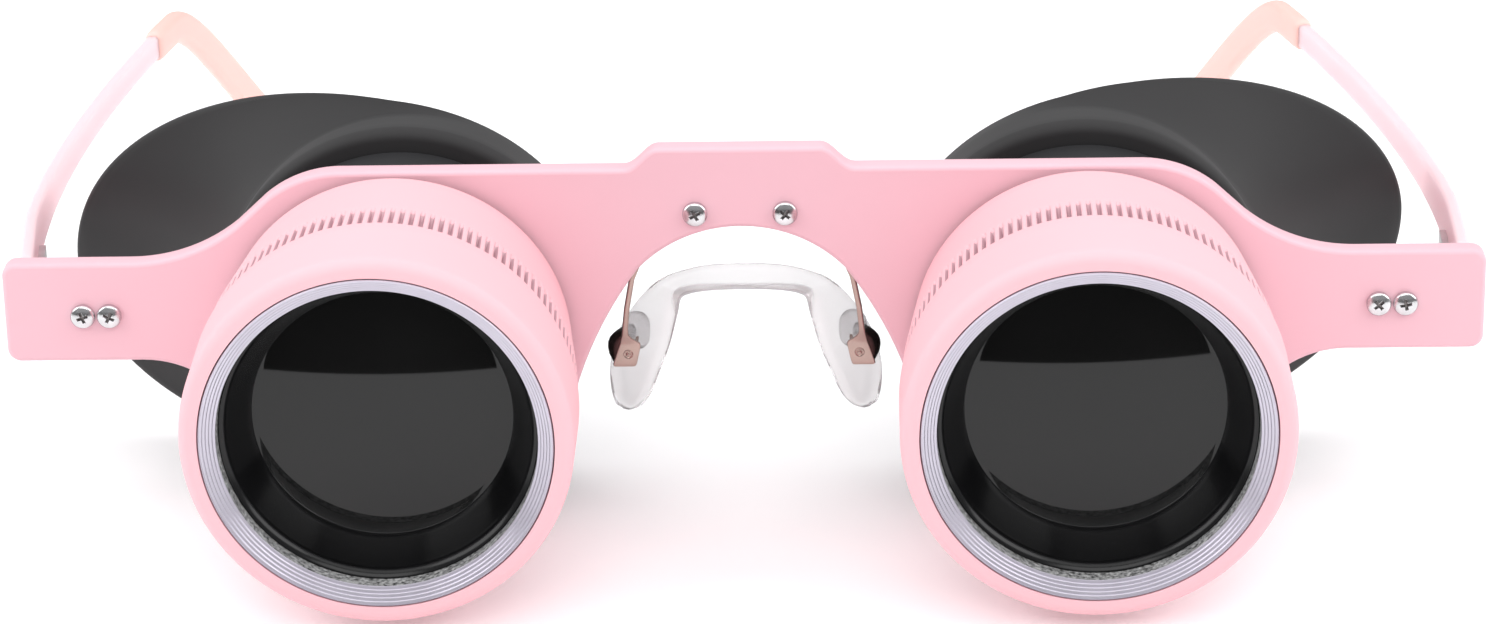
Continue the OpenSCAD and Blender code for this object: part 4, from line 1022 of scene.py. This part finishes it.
# The outline of a section round one edge, in shares of its width and of the edge's half
# thickness, and the places across the width where its hollow faces have their points.
EDGE_FORM = ((0.5, 0.35), (0.5, 0.0), (0.488, -0.4), (0.46, -0.75), (0.42, -0.95), (0.36, -1.0))
FACE_PLACES = (0.25, 0.1, -0.1, -0.25)
# Moulded on each pad: the stem that its clip holds, and the oval boss round it, with the width at
# each distance behind the plate.
STEM = {"x": 13.7, "z": -4.5, "height": 2.3, "corner": 0.3,
        "widths": ((5.1, 1.7), (5.2, 1.7), (11.0, 1.7), (11.4, 1.7))}
BOSS = {"x": 12.7, "z": -3.9, "height": 4.4, "corner": 1.6,
        "widths": ((9.9, 3.2), (10.05, 3.6), (11.2, 3.6))}
clear_silicone = finish("clear_silicone", (0.86, 0.853, 0.858), 0.24, mottle=0.008, mottle_scale=60.0,
                        grain=0.004, grain_scale=500.0, Transmission_Weight=0.8, IOR=1.23)


def eased(t):
    """A smooth start and stop from 0 to 1."""
    t = min(1.0, max(0.0, t))
    return t * t * (3 - 2 * t)


def through(spots, t):
    """A smooth curve through a row of places, one for each whole t, mirrored before the first."""
    i = min(len(spots) - 2, max(0, int(t)))
    a, b = Vector(spots[i]), Vector(spots[i + 1])
    before = Vector(spots[i - 1]) if i else Vector((-spots[1][0], spots[1][1], spots[1][2]))
    after = Vector(spots[i + 2]) if i + 2 < len(spots) else b + (b - a) * FOOT_PULL
    u = t - i
    cubic = 3 * (a - b) + after - before
    square = 2 * before - 5 * a + 4 * b - after
    return a + 0.5 * u * ((b - before) + u * (square + u * cubic))


def saddle_ring(t, sign):
    """One section of the saddle: thick at its two edges and thinner in the middle."""
    front, back = (through(edge, t) for edge in (FRONT_EDGE, BACK_EDGE))
    middle = (front + back) / 2
    further = (through(FRONT_EDGE, t + LOOK_AHEAD) + through(BACK_EDGE, t + LOOK_AHEAD)) / 2
    wide = (back - front).normalized()
    deep = wide.cross(further - middle).normalized()
    width = (back - front).length
    edge = (EDGE_HALF_THICKNESS + EDGE_THICKENING * eased(t / 5)) * (1 - 0.5 * eased(t - 8))
    hollow = edge * (1 - HOLLOW_SHARE * eased((t - 2) / 3) * (1 - eased((t - 6.5) / 2)))
    section = [(u * width, v * edge) for u, v in EDGE_FORM]
    section += [(u * width, -hollow) for u in FACE_PLACES]
    section += [(-u * width, v * edge) for u, v in EDGE_FORM[::-1]]
    section += [(-u * width, -v * edge) for u, v in EDGE_FORM[1:]]
    section += [(-u * width, hollow) for u in FACE_PLACES]
    section += [(u * width, -v * edge) for u, v in EDGE_FORM[:1:-1]]
    placed = [middle + wide * u + deep * v for u, v in section]
    return [(sign * p.x, p.y, p.z) for p in placed]


def pad_block(sign, x, z, height, corner, widths):
    """A block moulded on one pad, from its width at each distance behind the plate."""
    return bar([flat_ring(Vector((sign * x, y, z)), CROSS, RISE, width, height, corner)
                for y, width in widths])


pad_foot = (len(SADDLE_EDGES) - 1) * RINGS_PER_PLACE
saddle_parts = [bar([saddle_ring(abs(k) / RINGS_PER_PLACE, 1 if k > 0 else -1)
                     for k in range(-pad_foot, pad_foot + 1)])]
saddle_parts += [pad_block(sign, **block) for sign in (-1, 1) for block in (STEM, BOSS)]
saddle = new_piece("nose_saddle", *gather(saddle_parts), clear_silicone, sharp=50)
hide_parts("nose_pad")
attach(saddle, "frame")

# Closing.
# Each eyecup gets a mesh of its own.
for side, sign in SIDES:
    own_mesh(bpy.data.objects[side + "_cup_rubber"])
